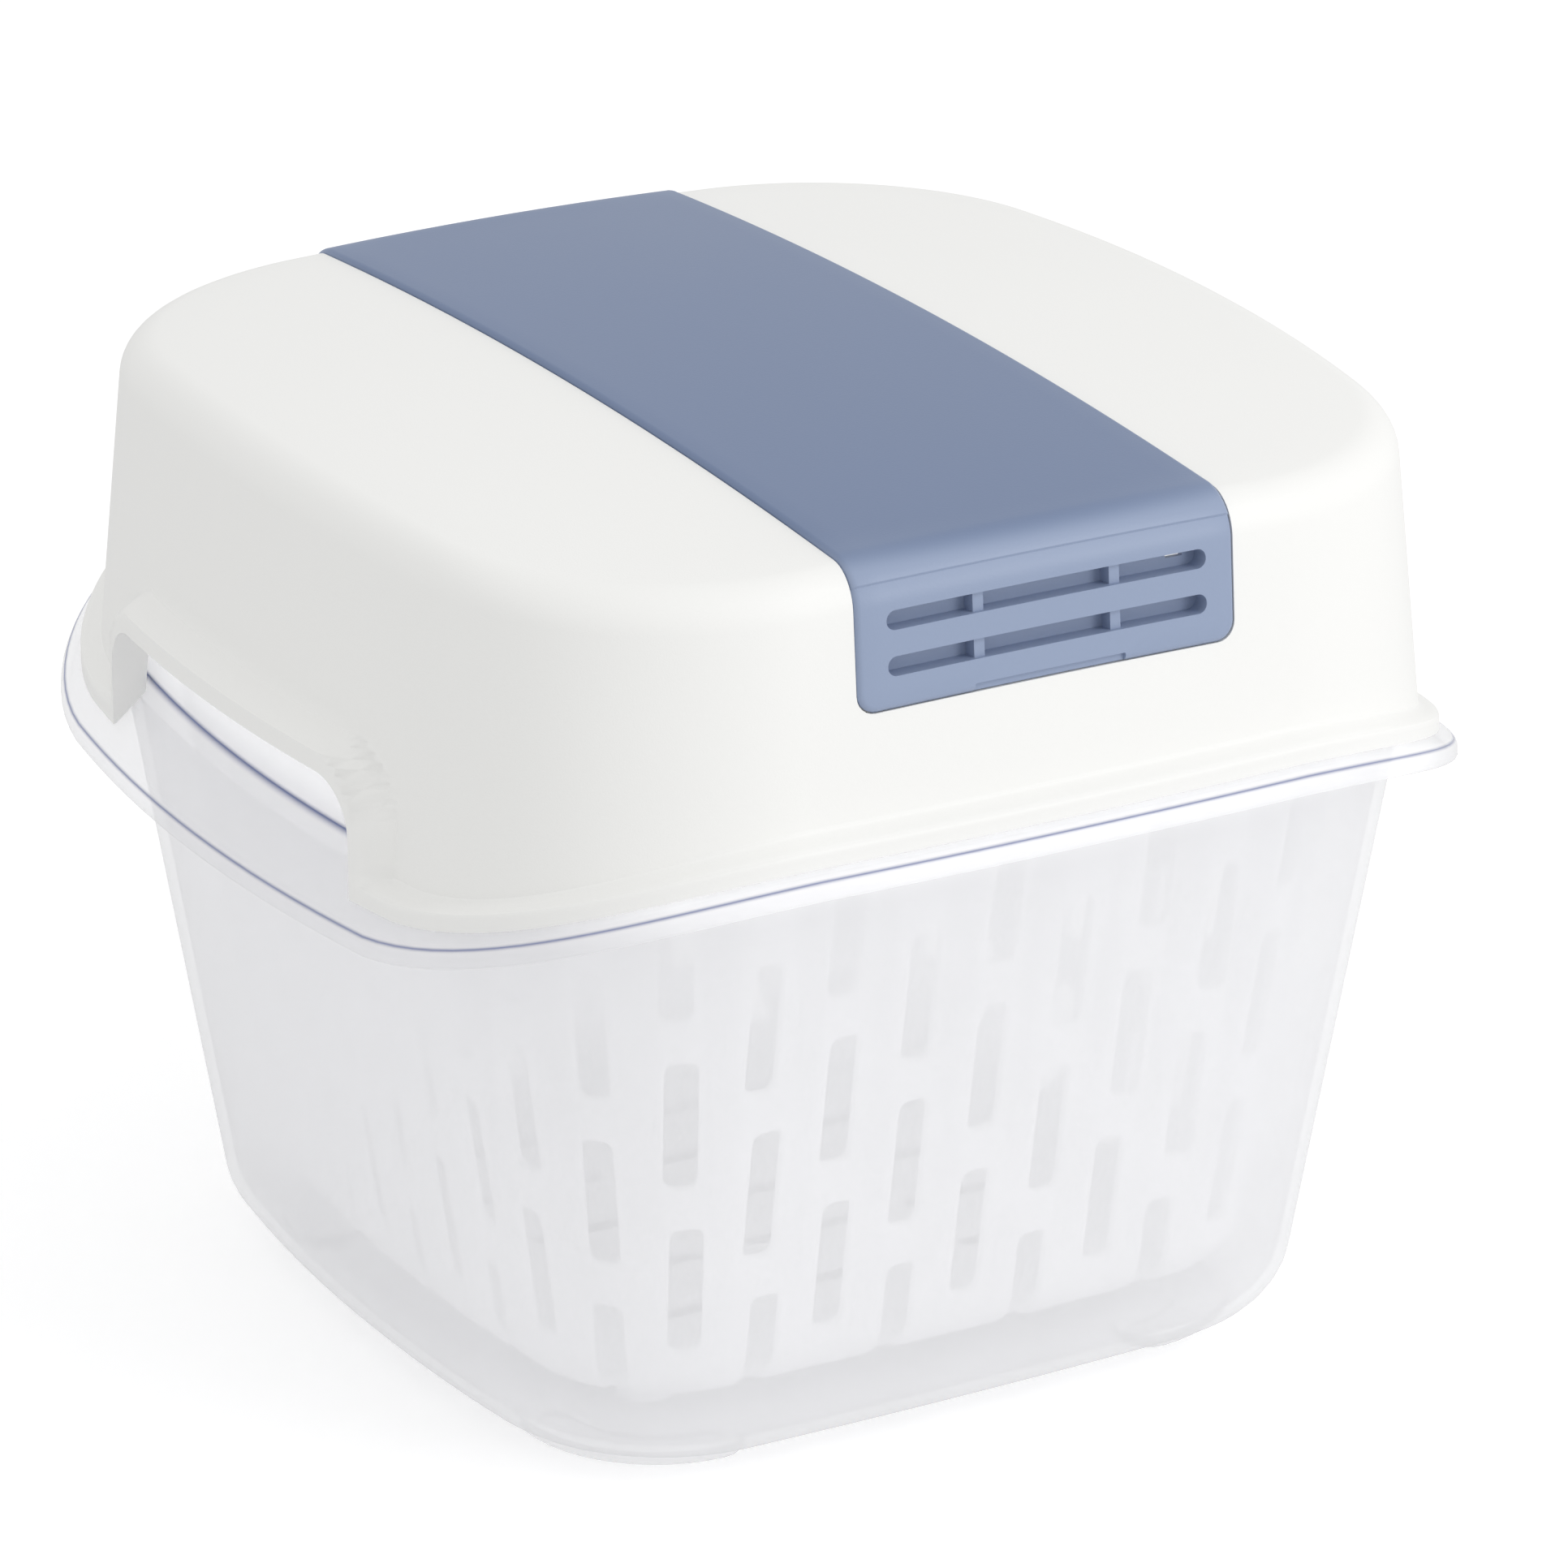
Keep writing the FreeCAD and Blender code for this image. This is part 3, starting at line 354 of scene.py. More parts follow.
# %% Bin: mark the two bends that get a painted dark-blue reflection line
# Painted reflection: each marked point carries the share of a dark-blue line painted along the
# bend.
dark = {tuple(round(value, 3) for value in point): share
        for points, share in ((root_line, 1.0), (bend[3], 0.9)) for point in points}
painted_bend_reflection = clear_bin.data.attributes.new("painted_bend_reflection", "FLOAT", "POINT")
for vert in clear_bin.data.vertices:
    key = tuple(round(value / MM, 3) for value in vert.co)
    painted_bend_reflection.data[vert.index].value = dark.get(key, 0.0)
marked = sum(item.value > 0 for item in painted_bend_reflection.data)
print("points on the dark bends", marked, "of", len(dark))

# %% [markdown]
# ## The strainer basket
#
# The basket repeats the bin's form about 9 mm further in, and its wall is a field of upright
# slits in staggered columns. The slits are cut with one object made of many rounded bars. Each
# bar is a cube with its four long edges bevelled, turned to the wall's own normal.

# %% Basket: wall, rim and legs
BASKET_GAP, BASKET_WALL, BASKET_FLOOR, BASKET_TOP = 8.8, 1.8, 13.5, 138.0
BASKET_ROUND, BASKET_RIM, BASKET_RIM_THICK = 11.0, 4.4, 2.0
LEG_CLEAR, LEG_PLACE, LEG_RADIUS = 0.3, 56.0, 6.0
BASKET_DETAIL = (16, 20)
basket_inset = WALL_THICK + BASKET_GAP
inner_inset = basket_inset + BASKET_WALL
reach = basket_inset - BASKET_RIM
rim_under = BASKET_TOP - BASKET_RIM_THICK


def basket_ring(plan_level, inset, level):
    """Return a level ring of the basket, on the wall's plan at another level."""
    return ring(wall_plan(plan_level, inset), level, 0, BASKET_DETAIL)


inner_round = rounded_wall(BASKET_FLOOR + BASKET_WALL, BASKET_ROUND - BASKET_WALL, inner_inset,
                           BASKET_DETAIL, 7)
basket_rings = [
    *rounded_wall(BASKET_FLOOR, BASKET_ROUND, basket_inset, BASKET_DETAIL, 7),
    dipped_wall(wall_plan, rim_under - 0.8, 0, basket_inset, BASKET_DETAIL),
    basket_ring(rim_under, basket_inset - 0.8, rim_under),
    basket_ring(rim_under, reach + 0.5, rim_under),
    basket_ring(rim_under, reach, rim_under + 0.6),
    basket_ring(rim_under, reach + 0.1, BASKET_TOP - 0.6),
    basket_ring(rim_under, reach + 0.8, BASKET_TOP),
    basket_ring(BASKET_TOP, inner_inset - 0.7, BASKET_TOP),
    basket_ring(rim_under, inner_inset, BASKET_TOP - 0.8),
    *inner_round[::-1],
]
strainer = finish_piece("strainer", skin(basket_rings))

legs = bmesh.new()
leg_foot = FLOOR_LEVEL + FLOOR_THICK + LEG_CLEAR
leg_tall = BASKET_FLOOR + BASKET_WALL / 2 - leg_foot
for across in (-1, 1):
    for along in (-1, 1):
        spot = Matrix.Translation((across * LEG_PLACE, along * LEG_PLACE, leg_foot + leg_tall / 2))
        bmesh.ops.create_cone(legs, cap_ends=True, segments=32, radius1=LEG_RADIUS,
                              radius2=LEG_RADIUS, depth=leg_tall, matrix=spot)
apply_boolean(strainer, finish_piece("legs", legs), "UNION")

# %% Basket: slits in the wall and drains in the floor
SLIT_COLUMNS, SLIT_WIDE, SLIT_TALL, SLIT_PITCH, SLIT_CORNER = 40, 7.0, 28.8, 38.2, 2.2
SLIT_LEVEL, SLIT_SHIFT, SLIT_DEPTH = 61.1, 18.3, 18.0
DRAIN_PITCH_X, DRAIN_PITCH_Y = 38.0, 22.0


def rounded_bar(bm, matrix, size, corner, segments):
    """Add a bar of a size (depth, width, height) whose four long edges are rounded."""
    made = bmesh.ops.create_cube(bm, size=1)["verts"]
    bmesh.ops.scale(bm, vec=size, verts=made)
    edges = {edge for vert in made for edge in vert.link_edges
             if abs(edge.verts[0].co.x - edge.verts[1].co.x) > size[0] / 2}
    rounded = bmesh.ops.bevel(bm, geom=list(edges), offset=corner, segments=segments,
                              profile=0.5, affect="EDGES", material=-1)
    kept = {vert for vert in made if vert.is_valid} | set(rounded["verts"])
    bmesh.ops.transform(bm, matrix=matrix, verts=list(kept))


def along_plan(plan, distance):
    """Return the point and outward turn at a distance round, from the middle of +X."""
    c, first, last = plan.centre, plan.turn_x, plan.turn_y
    corner_run = plan.corner * (last - first)
    side_x, side_y = BOW_GRIP * first, BOW_FRONT * (pi / 2 - last)
    quarter_run = side_x + corner_run + side_y
    quarter, left = divmod(distance, quarter_run)
    if quarter % 2:
        left = quarter_run - left
    if left <= side_x:
        turn = left / BOW_GRIP
        spot = Vector((plan.half_x - BOW_GRIP + BOW_GRIP * cos(turn), BOW_GRIP * sin(turn)))
    elif left <= side_x + corner_run:
        turn = first + (left - side_x) / plan.corner
        spot = c + Vector((cos(turn), sin(turn))) * plan.corner
    else:
        turn = last + (left - side_x - corner_run) / BOW_FRONT
        spot = Vector((BOW_FRONT * cos(turn), plan.half_y - BOW_FRONT + BOW_FRONT * sin(turn)))
    if quarter % 4 in (1, 2):
        spot.x, turn = -spot.x, pi - turn
    if quarter % 4 in (2, 3):
        spot.y, turn = -spot.y, -turn
    return spot, turn, 4 * quarter_run


slits = bmesh.new()
slit_size = (SLIT_DEPTH, SLIT_WIDE, SLIT_TALL)
for column in range(SLIT_COLUMNS):
    middle = SLIT_LEVEL + (column + 1) % 2 * SLIT_SHIFT
    for row in (-1, 0, 1):
        level = middle + row * SLIT_PITCH
        plan = wall_plan(level, basket_inset + BASKET_WALL / 2)
        full = along_plan(plan, 0)[2]
        spot, turn, _ = along_plan(plan, full * column / SLIT_COLUMNS)
        matrix = Matrix.Translation((spot.x, spot.y, level)) @ Matrix.Rotation(turn, 4, "Z")
        rounded_bar(slits, matrix, slit_size, SLIT_CORNER, 4)
for across in (-1, 0, 1):
    for along in range(-2, 3):
        matrix = Matrix.Translation((across * DRAIN_PITCH_X, along * DRAIN_PITCH_Y, BASKET_FLOOR))
        matrix = matrix @ Matrix.Rotation(pi / 2, 4, "Y")
        rounded_bar(slits, matrix, slit_size, SLIT_CORNER, 4)
apply_boolean(strainer, finish_piece("slits", slits), "DIFFERENCE")

# %% [markdown]
# ## The lid
#
# The lid is a drafted wall with a rounded shoulder and a nearly flat crown, 2.6 mm thick. Its
# lower edge turns out in a soft lip, which follows the dipping flange, and the lip climbs round
# each side cut-out as a bead. Lip and bead are one outward swelling of the same wall, so the
# wall's points are moved out towards the lip's outline by a share between 0 and 1.

# %% Lid: shoulder geometry
LID_DETAIL = (52, 40)
NOTCH_HALF, NOTCH_TOP, NOTCH_CORNER = 53.0, 8.2, 11.0
BEAD_FACE, BEAD_WIDTH = 4.0, 7.6
LIP_LEVEL = RIM + ROOT_RISE + LIP_SEAT
LEVEL_RISE, LIP_RINGS, LIP_STEP = 24.0, 7.0, 0.6
CROWN_SHARES = (0.92, 0.84, 0.76, 0.68, 0.6, 0.52, 0.44, 0.36, 0.28, 0.2, 0.12, 0.05)


def shoulder(start, end, inwards):
    """Return the centre, outward way and both turns of the shoulder arc over a wall line."""
    way = Vector((start.x - end.x, start.y - end.y, 0))
    lean = way.length / (end.z - start.z)
    out = way.normalized()
    crown, radius = CROWN_LEVEL - inwards, CROWN_RADIUS - inwards
    turn = SHOULDER_ROUND - inwards
    height = crown - start.z
    for _ in range(4):
        spot = Vector((start.x, start.y, 0)) - out * (lean * height)
        height = crown - (spot.x**2 + spot.y**2) / (2 * radius) - start.z
    wall_turn = atan(lean)
    crown_turn = pi / 2 - atan(spot.dot(out) / radius)
    reach = turn * tan((crown_turn - wall_turn) / 2)
    touch = spot + Vector((0, 0, start.z + height)) + out * (reach * sin(wall_turn))
    touch.z -= reach * cos(wall_turn)
    centre = touch - out * (turn * cos(wall_turn)) - Vector((0, 0, turn * sin(wall_turn)))
    return centre, out, wall_turn, crown_turn, turn


def dome_rings(inwards, steps):
    """Return rings from the top of the wall, over the shoulder, to the middle of the crown."""
    low = ring(lid_plan(RIM, inwards), RIM, 0, LID_DETAIL)
    high = ring(lid_plan(RIM + LID_HIGH, inwards), RIM + LID_HIGH, 0, LID_DETAIL)
    rings = [[] for _ in range(steps + 1)]
    for start, end in zip(low, high):
        centre, out, wall_turn, crown_turn, radius = shoulder(start, end, inwards)
        for step in range(steps + 1):
            turn = wall_turn + (crown_turn - wall_turn) * step / steps
            up = Vector((0, 0, radius * sin(turn)))
            rings[step].append(centre + out * (radius * cos(turn)) + up)
    crown, radius = CROWN_LEVEL - inwards, CROWN_RADIUS - inwards
    for share in CROWN_SHARES:
        points = []
        for point in rings[steps]:
            x, y = point.x * share, point.y * share
            points.append(Vector((x, y, crown - (x**2 + y**2) / (2 * radius))))
        rings.append(points)
    return rings


def soft(value):
    """Return a smooth step from 0 to 1."""
    value = min(1.0, max(0.0, value))
    return value * value * (3 - 2 * value)


def notch_distance(y, z):
    """Return the distance outside the rounded outline of a side cut-out."""
    across = abs(y) - (NOTCH_HALF - NOTCH_CORNER)
    up = z - (RIM + NOTCH_TOP - NOTCH_CORNER)
    if across > 0 and up > 0:
        return sqrt(across**2 + up**2) - NOTCH_CORNER
    return max(across, up) - NOTCH_CORNER


# %% Lid: one closed skin, inside and outside
def lip_levels(plan):
    """Return the height of the lid's lower edge at each point round an outline."""
    dip = flange_dip(plan.half_x)
    return [LIP_LEVEL - dip * cos(turn) ** 2 for _, _, turn in plan.spots(LID_DETAIL)]


def lid_wall_ring(share, rise, inwards, with_lip):
    """Return a ring of the lid's wall: a rise above the edge, then a share up to level."""
    flat = RIM + LEVEL_RISE
    low = ring(lid_plan(RIM - LID_LOW, inwards), RIM - LID_LOW, 0, LID_DETAIL)
    high = ring(lid_plan(RIM + LID_HIGH, inwards), RIM + LID_HIGH, 0, LID_DETAIL)
    lip_plan = Plan(*LIP_PLAN)
    lip = ring(lip_plan, RIM, 0, LID_DETAIL)
    levels = lip_levels(lip_plan if with_lip else lid_plan(RIM, inwards))
    points = []
    for start, end, out, base in zip(low, high, lip, levels):
        z = base + rise + (flat - base - rise) * share
        point = start.lerp(end, (z - start.z) / (end.z - start.z))
        if with_lip:
            bead = soft((BEAD_WIDTH - notch_distance(point.y, z)) / (BEAD_WIDTH - BEAD_FACE))
            lift = soft((LIP_EDGE + LIP_RAMP - (z - base)) / LIP_RAMP)
            bulge = 1 - (1 - bead) * (1 - lift)
            point = point.lerp(Vector((out.x, out.y, z)), bulge)
        points.append(point)
    return points


def between(first, second, share):
    """Return the ring a share of the way from one ring to another."""
    return [start.lerp(end, share) for start, end in zip(first, second)]


outer_top, inner_top = dome_rings(0, 10), dome_rings(LID_THICK, 6)
inner_edge = lid_wall_ring(0, 0.0, LID_THICK - 0.3, False)
wall_top = lid_wall_ring(1, LIP_RINGS, 0, True)
lid_rings = [
    *inner_top[::-1],
    *[lid_wall_ring(1 - step / 6, 3.0, LID_THICK, False) for step in range(6)],
    lid_wall_ring(0, 0.3, LID_THICK, False),
    inner_edge,
    between(lid_wall_ring(0, 0, 0, True), inner_edge, 0.12),
    *[lid_wall_ring(0, LIP_STEP * step - 0.2, 0, True) for step in range(1, 13)],
    *[lid_wall_ring(step / 22, LIP_RINGS, 0, True) for step in range(1, 23)],
    *[between(wall_top, outer_top[0], step / 5) for step in range(1, 5)],
    *outer_top,
]
white_lid = finish_piece("white_lid", skin(lid_rings))

# %% Lid: cut-outs at the grip sides
NOTCH_PLACE, NOTCH_DEEP, NOTCH_TALL = 122.0, 50.0, 60.0
notches = bmesh.new()
for side in (-1, 1):
    matrix = Matrix.Translation((side * NOTCH_PLACE, 0, RIM + NOTCH_TOP - NOTCH_TALL / 2))
    rounded_bar(notches, matrix, (NOTCH_DEEP, 2 * NOTCH_HALF, NOTCH_TALL), NOTCH_CORNER, 10)
apply_boolean(white_lid, finish_piece("notches", notches), "DIFFERENCE")

# %% [markdown]
# ## The vent band
#
# The band is a thin plate that wraps over the lid, from the front grille to the rear one. It is
# drawn flat, as a plate of its developed length, where its rounded corners, slots and edges are
# simple to cut and bevel. Then every point is bent onto the lid: down the front wall, round the
# shoulder, over the crown and down again at the rear.

# %% Band: the bend from flat to wrapped
BAND_HALF, BAND_LOW, BAND_PROUD, BAND_SUNK, BAND_GAP, BAND_REST = 41.8, 168.8, 1.0, 1.3, 0.25, 0.1
FACE_SET_BACK, FACE_TOP, BAND_CORNER, BAND_EDGE = 0.4, 193.6, 4.0, 1.2
BOW_START, CROWN_STEP, NOSE_STEPS, FACE_STEP = 60.0, 7.0, 14, 4
wall_foot = Vector((0, lid_plan(RIM, 0).half_y, RIM))
wall_head = Vector((0, lid_plan(RIM + LID_HIGH, 0).half_y, RIM + LID_HIGH))
nose, _, wall_turn, crown_turn, nose_radius = shoulder(wall_foot, wall_head, 0)
nose_start = nose.y + nose_radius * cos(crown_turn)
crown_run = CROWN_RADIUS * asin(nose_start / CROWN_RADIUS)
nose_run = nose_radius * (crown_turn - wall_turn)
nose_low = nose.z + nose_radius * sin(wall_turn)


def run_at_level(level):
    """Return how far along the wrapped band a height on its front wall lies."""
    return crown_run + nose_run + (nose_low - level) / cos(wall_turn)


def wrapped(flat):
    """Bend a flat point (across, along, depth) onto the lid."""
    across, along, depth = flat
    run, side = abs(along), 1 if along > 0 else -1
    if run < crown_run:
        turn = pi / 2 - run / CROWN_RADIUS
        y, z = CROWN_RADIUS * cos(turn), CROWN_LEVEL - CROWN_RADIUS * (1 - sin(turn))
    elif run < crown_run + nose_run:
        turn = crown_turn - (run - crown_run) / nose_radius
        y, z = nose.y + nose_radius * cos(turn), nose.z + nose_radius * sin(turn)
    else:
        turn = wall_turn
        down = run - crown_run - nose_run
        y = nose.y + nose_radius * cos(turn) + down * sin(turn)
        z = nose_low - down * cos(turn)
    y += depth * cos(turn) - across**2 / (2 * BOW_FRONT) * min(1, run / BOW_START)
    z += depth * sin(turn) - across**2 / (2 * CROWN_RADIUS)
    return Vector((across, side * y, z))


def flat_bar(bm, low, high, corner, segments):
    """Add a bar between two flat corners, with rounded edges along its depth."""
    size = [b - a for a, b in zip(low, high)]
    middle = [(a + b) / 2 for a, b in zip(low, high)]
    upright = Matrix.Rotation(-pi / 2, 4, "Y")
    matrix = Matrix.Translation(middle) @ upright
    rounded_bar(bm, matrix, (size[2], size[1], size[0]), corner, segments)


def divide(bm, spot, normal):
    """Cut every face of a mesh where it crosses a plane."""
    geom = list(bm.verts) + list(bm.edges) + list(bm.faces)
    bmesh.ops.bisect_plane(bm, geom=geom, dist=0.0001, plane_co=spot, plane_no=normal)


def wrap(bm):
    """Divide a flat mesh where it will curve, then bend it."""
    runs = [step * CROWN_STEP for step in range(int(crown_run / CROWN_STEP) + 1)]
    runs += [crown_run + nose_run * step / NOSE_STEPS for step in range(NOSE_STEPS + 1)]
    runs += [run_at_level(FACE_TOP) + shift for shift in (-0.25, 0.25)]
    runs += [crown_run + nose_run + step * FACE_STEP for step in (1, 2, 3, 4, 5)]
    for across in range(-36, 37, 8):
        divide(bm, (across, 0, 0), (1, 0, 0))
    for side in (-1, 1):
        for run in runs:
            divide(bm, (0, side * run, 0), (0, 1, 0))
    for vert in bm.verts:
        vert.co = wrapped(vert.co)


print("developed half length of the band", round(run_at_level(BAND_LOW), 1), "mm")

# %% Lid: recess under the band, and windows behind the grilles
CUTTER_TOP, WINDOW_PLACE, WINDOW_DEEP = 9.0, 116.0, 16.0
SLOT_HALF, SLOT_TALL, SLOT_LEVEL, SLOT_PITCH, SLOT_DEEP = 35.4, 3.9, 186.1, 9.0, 4.6
POST_PLACE, POST_WIDE, POST_SET_BACK = 15.1, 2.3, 1.4
BOX_HALF, BOX_MARGIN, BOX_WALL, WINDOW_GAP = 37.6, 2.6, 1.2, 0.3
recess = bmesh.new()
half_run = run_at_level(BAND_LOW - BAND_GAP)
deep, wide = BAND_SUNK + BAND_REST, BAND_HALF + BAND_GAP
flat_bar(recess, (-wide, -half_run, -deep), (wide, half_run, 4.0), BAND_CORNER, 6)
wrap(recess)
apply_boolean(white_lid, finish_piece("recess", recess), "DIFFERENCE")
windows = bmesh.new()
box_low = SLOT_LEVEL - SLOT_PITCH - SLOT_TALL / 2 - BOX_MARGIN
box_high = SLOT_LEVEL + SLOT_TALL / 2 + BOX_MARGIN
window_size = (2 * (BOX_HALF + WINDOW_GAP), WINDOW_DEEP, box_high - box_low + 2 * WINDOW_GAP)
for side in (-1, 1):
    matrix = Matrix.Translation((0, side * WINDOW_PLACE, (box_low + box_high) / 2))
    rounded_bar(windows, matrix, window_size, 0.5, 2)
apply_boolean(white_lid, finish_piece("windows", windows), "DIFFERENCE")

# %% Band: flat plate with its grille boxes
plate = bmesh.new()
half_run = run_at_level(BAND_LOW)
flat_bar(plate, (-BAND_HALF, -half_run, -BAND_SUNK), (BAND_HALF, half_run, BAND_PROUD),
         BAND_CORNER, 8)
top_edges = [edge for edge in plate.edges if all(v.co.z > BAND_PROUD - 0.01 for v in edge.verts)]
bmesh.ops.bevel(plate, geom=top_edges, offset=BAND_EDGE, segments=4, profile=0.5,
                affect="EDGES", material=-1)
vent_band = finish_piece("slate_band", plate)
boxes = bmesh.new()
box_depth = BAND_PROUD - SLOT_DEEP - BOX_WALL
for side in (-1, 1):
    start, end = sorted(side * run_at_level(level) for level in (box_high, box_low))
    flat_bar(boxes, (-BOX_HALF, start, box_depth), (BOX_HALF, end, -0.5), 0.4, 2)
apply_boolean(vent_band, finish_piece("boxes", boxes), "UNION")

# %% Band: slots with their posts, vent holes and prying notches
HOLE_PLACE, HOLE_WIDE, PRY_HALF, PRY_DEEP, PRY_TALL = 30.6, 4.0, 16.7, 1.4, 1.6
POST_SINK, HOLE_TALL = 0.4, 1.5
slots, posts, holes = bmesh.new(), bmesh.new(), bmesh.new()
slot_floor, slot_half, post_half = BAND_PROUD - SLOT_DEEP, SLOT_TALL / 2, POST_WIDE / 2
post_top = BAND_PROUD - POST_SET_BACK
for side in (-1, 1):
    for level in (SLOT_LEVEL, SLOT_LEVEL - SLOT_PITCH):
        middle = side * run_at_level(level)
        low, high = middle - slot_half, middle + slot_half
        flat_bar(slots, (-SLOT_HALF, low, slot_floor), (SLOT_HALF, high, CUTTER_TOP),
                 slot_half * 0.98, 8)
        for place in (-POST_PLACE, POST_PLACE):
            flat_bar(posts, (place - post_half, low - POST_SINK, slot_floor - POST_SINK),
                     (place + post_half, high + POST_SINK, post_top), 0.2, 1)
    spot = -side * HOLE_PLACE
    start, end = sorted(side * run_at_level(SLOT_LEVEL + rise) for rise in (0, HOLE_TALL))
    flat_bar(holes, (spot - HOLE_WIDE / 2, start, -9.0), (spot + HOLE_WIDE / 2, end, -2.0), 0.3, 2)
    start, end = sorted(side * run_at_level(BAND_LOW + rise) for rise in (PRY_TALL, -3))
    flat_bar(holes, (-PRY_HALF, start, BAND_PROUD - PRY_DEEP), (PRY_HALF, end, CUTTER_TOP), 0.3, 2)
apply_boolean(vent_band, finish_piece("slots", slots), "DIFFERENCE")
apply_boolean(vent_band, finish_piece("posts", posts), "UNION")
apply_boolean(vent_band, finish_piece("holes", holes), "DIFFERENCE")

# %% Band: bend the finished plate onto the lid
bent = bmesh.new()
bent.from_mesh(vent_band.data)
bmesh.ops.scale(bent, vec=(1 / MM, 1 / MM, 1 / MM), verts=bent.verts)
step_run = run_at_level(FACE_TOP)
for place in (-step_run - 0.3, -step_run, step_run, step_run + 0.3):
    divide(bent, (0, place, 0), (0, 1, 0))
for vert in bent.verts:
    if vert.co.z > 0 and abs(vert.co.y) > step_run + 0.2:
        vert.co.z -= FACE_SET_BACK
wrap(bent)
bmesh.ops.scale(bent, vec=(MM, MM, MM), verts=bent.verts)
bent.to_mesh(vent_band.data)
bent.free()

# %% [markdown]
# ## Finishes
#
# All four plastics are plain, so their finish is mostly in how they take light: a fine moulded
# grain and a soft sheen on the lid and band, milky depth in the basket, and a clear skin that turns
# more solid where it is seen edge on. Some light is painted in: a painted highlight and painted
# front light make the band paler on its nose and grille faces, and the bin's two bends get painted
# dark-blue reflection lines. Clear plastic also carries light along inside its walls, which a mix
# of thin shaders can't do, so bin and basket get a weak painted glow instead, stronger in the
# bin's collar and base. Node maths is written as Python expressions through one small class that
# wraps a socket.

# %% Shader helpers
class Socket:
    """A node output that makes Math nodes when it is used in an expression."""

    def __init__(self, tree, output):
        self.tree, self.output = tree, output

    def math(self, operation, first, second=0.0):
        return self.tree.node("ShaderNodeMath", {"operation": operation}, {0: first, 1: second})

    def __add__(self, other):
        return self.math("ADD", self, other)

    def __mul__(self, other):
        return self.math("MULTIPLY", self, other)

    def __pow__(self, other):
        return self.math("POWER", self, other)

    __radd__, __rmul__ = __add__, __mul__


class Finish:
    """A material and the one way in which its nodes are made."""

    def __init__(self, name):
        self.material = bpy.data.materials.new(name)
        self.material.use_nodes = True
        self.nodes = self.material.node_tree.nodes
        self.nodes.clear()

    def node(self, kind, settings=None, inputs=None, output=0):
        """Make a node, set it up first, then fill its sockets with values or links."""
        made = self.nodes.new(kind)
        for key, value in (settings or {}).items():
            setattr(made, key, value)
        for key, value in (inputs or {}).items():
            if isinstance(value, Socket):
                self.material.node_tree.links.new(value.output, made.inputs[key])
            else:
                made.inputs[key].default_value = value
        return Socket(self, made.outputs[output]) if made.outputs else made

    def place(self):
        return self.node("ShaderNodeTexCoord", output="Object")

    def noise(self, scale, detail):
        return self.node("ShaderNodeTexNoise", None, {"Vector": self.place(), "Scale": scale,
                                                      "Detail": detail})

    def tint(self, share, low, high):
        """Mix two colours, of which each is a socket or three levels of light."""
        low, high = (c if isinstance(c, Socket) else (*c, 1) for c in (low, high))
        return self.node("ShaderNodeMix", {"data_type": "RGBA"}, {"Factor": share, 6: low, 7: high},
                         output=2)

    def by_height(self, start, end, most):
        """Return a value that goes softly from 0 to the most between two heights in mm."""
        up = self.node("ShaderNodeSeparateXYZ", None, {0: self.place()}, output=2)
        return self.node("ShaderNodeMapRange", {"interpolation_type": "SMOOTHSTEP"}, {
            "Value": up, "From Min": start * MM, "From Max": end * MM,
            "To Min": 0.0, "To Max": most})

    def bump(self, height, distance, strength):
        return self.node("ShaderNodeBump", None, {"Height": height, "Distance": distance,
                                                  "Strength": strength})

    def out(self, shader):
        self.node("ShaderNodeOutputMaterial", None, {"Surface": shader})
        return self.material


def linear(*levels):
    """Return screen colour levels from 0 to 255 as linear light."""
    return tuple(((v / 255 + 0.055) / 1.055) ** 2.4 if v > 10 else v / 3295 for v in levels)


# %% White satin plastic of the lid
def white_plastic():
    finish = Finish("white_satin")
    grain = finish.noise(2600, 2)
    cloud = finish.noise(9, 3)
    colour = finish.tint(cloud, linear(242, 242, 240), linear(245, 245, 243))
    shader = finish.node("ShaderNodeBsdfPrincipled", None, {
        "Base Color": colour,
        "Roughness": 0.42 + 0.08 * cloud,
        "Normal": finish.bump(grain, 0.00008, 0.25),
        "IOR": 1.46,
    })
    return finish.out(shader)


# %% Slate-blue plastic of the band, with a painted highlight low on the nose and painted front light on the two grille faces
def slate_plastic():
    finish = Finish("slate_satin")
    grain = finish.noise(2200, 2)
    cloud = finish.noise(14, 3)
    top = finish.tint(cloud, linear(104, 122, 155), linear(111, 128, 161))
    # Painted light: from the nose's lower half down, the band is painted paler. This is a painted
    # highlight on the nose and painted front light on the grille faces.
    painted_front_light = finish.by_height(FACE_TOP + 5.0, FACE_TOP + 1.5, 1.0)
    colour = finish.tint(painted_front_light, top, linear(146, 160, 187))
    shader = finish.node("ShaderNodeBsdfPrincipled", None, {
        "Base Color": colour,
        "Roughness": 0.34 + 0.1 * cloud,
        "Normal": finish.bump(grain, 0.00008, 0.3),
        "IOR": 1.48,
    })
    return finish.out(shader)


# %% Milky plastic of the basket, with a painted glow
def milky_plastic():
    finish = Finish("milky_plastic")
    cloud = finish.noise(30, 2)
    colour = finish.tint(cloud, linear(246, 246, 247), linear(250, 250, 251))
    body = finish.node("ShaderNodeBsdfPrincipled", None, {
        "Base Color": colour,
        "Roughness": 0.4 + 0.05 * cloud,
        "IOR": 1.46,
        # Painted glow: a weak white emission brightens the basket, which sits in the shade of the
        # closed bin.
        "Emission Color": (1, 1, 1, 1),
        "Emission Strength": 0.21,
    })
    through = finish.node("ShaderNodeBsdfTranslucent", None, {"Color": (0.98, 0.98, 0.983, 1)})
    return finish.out(finish.node("ShaderNodeMixShader", None, {0: 0.5, 1: body, 2: through}))
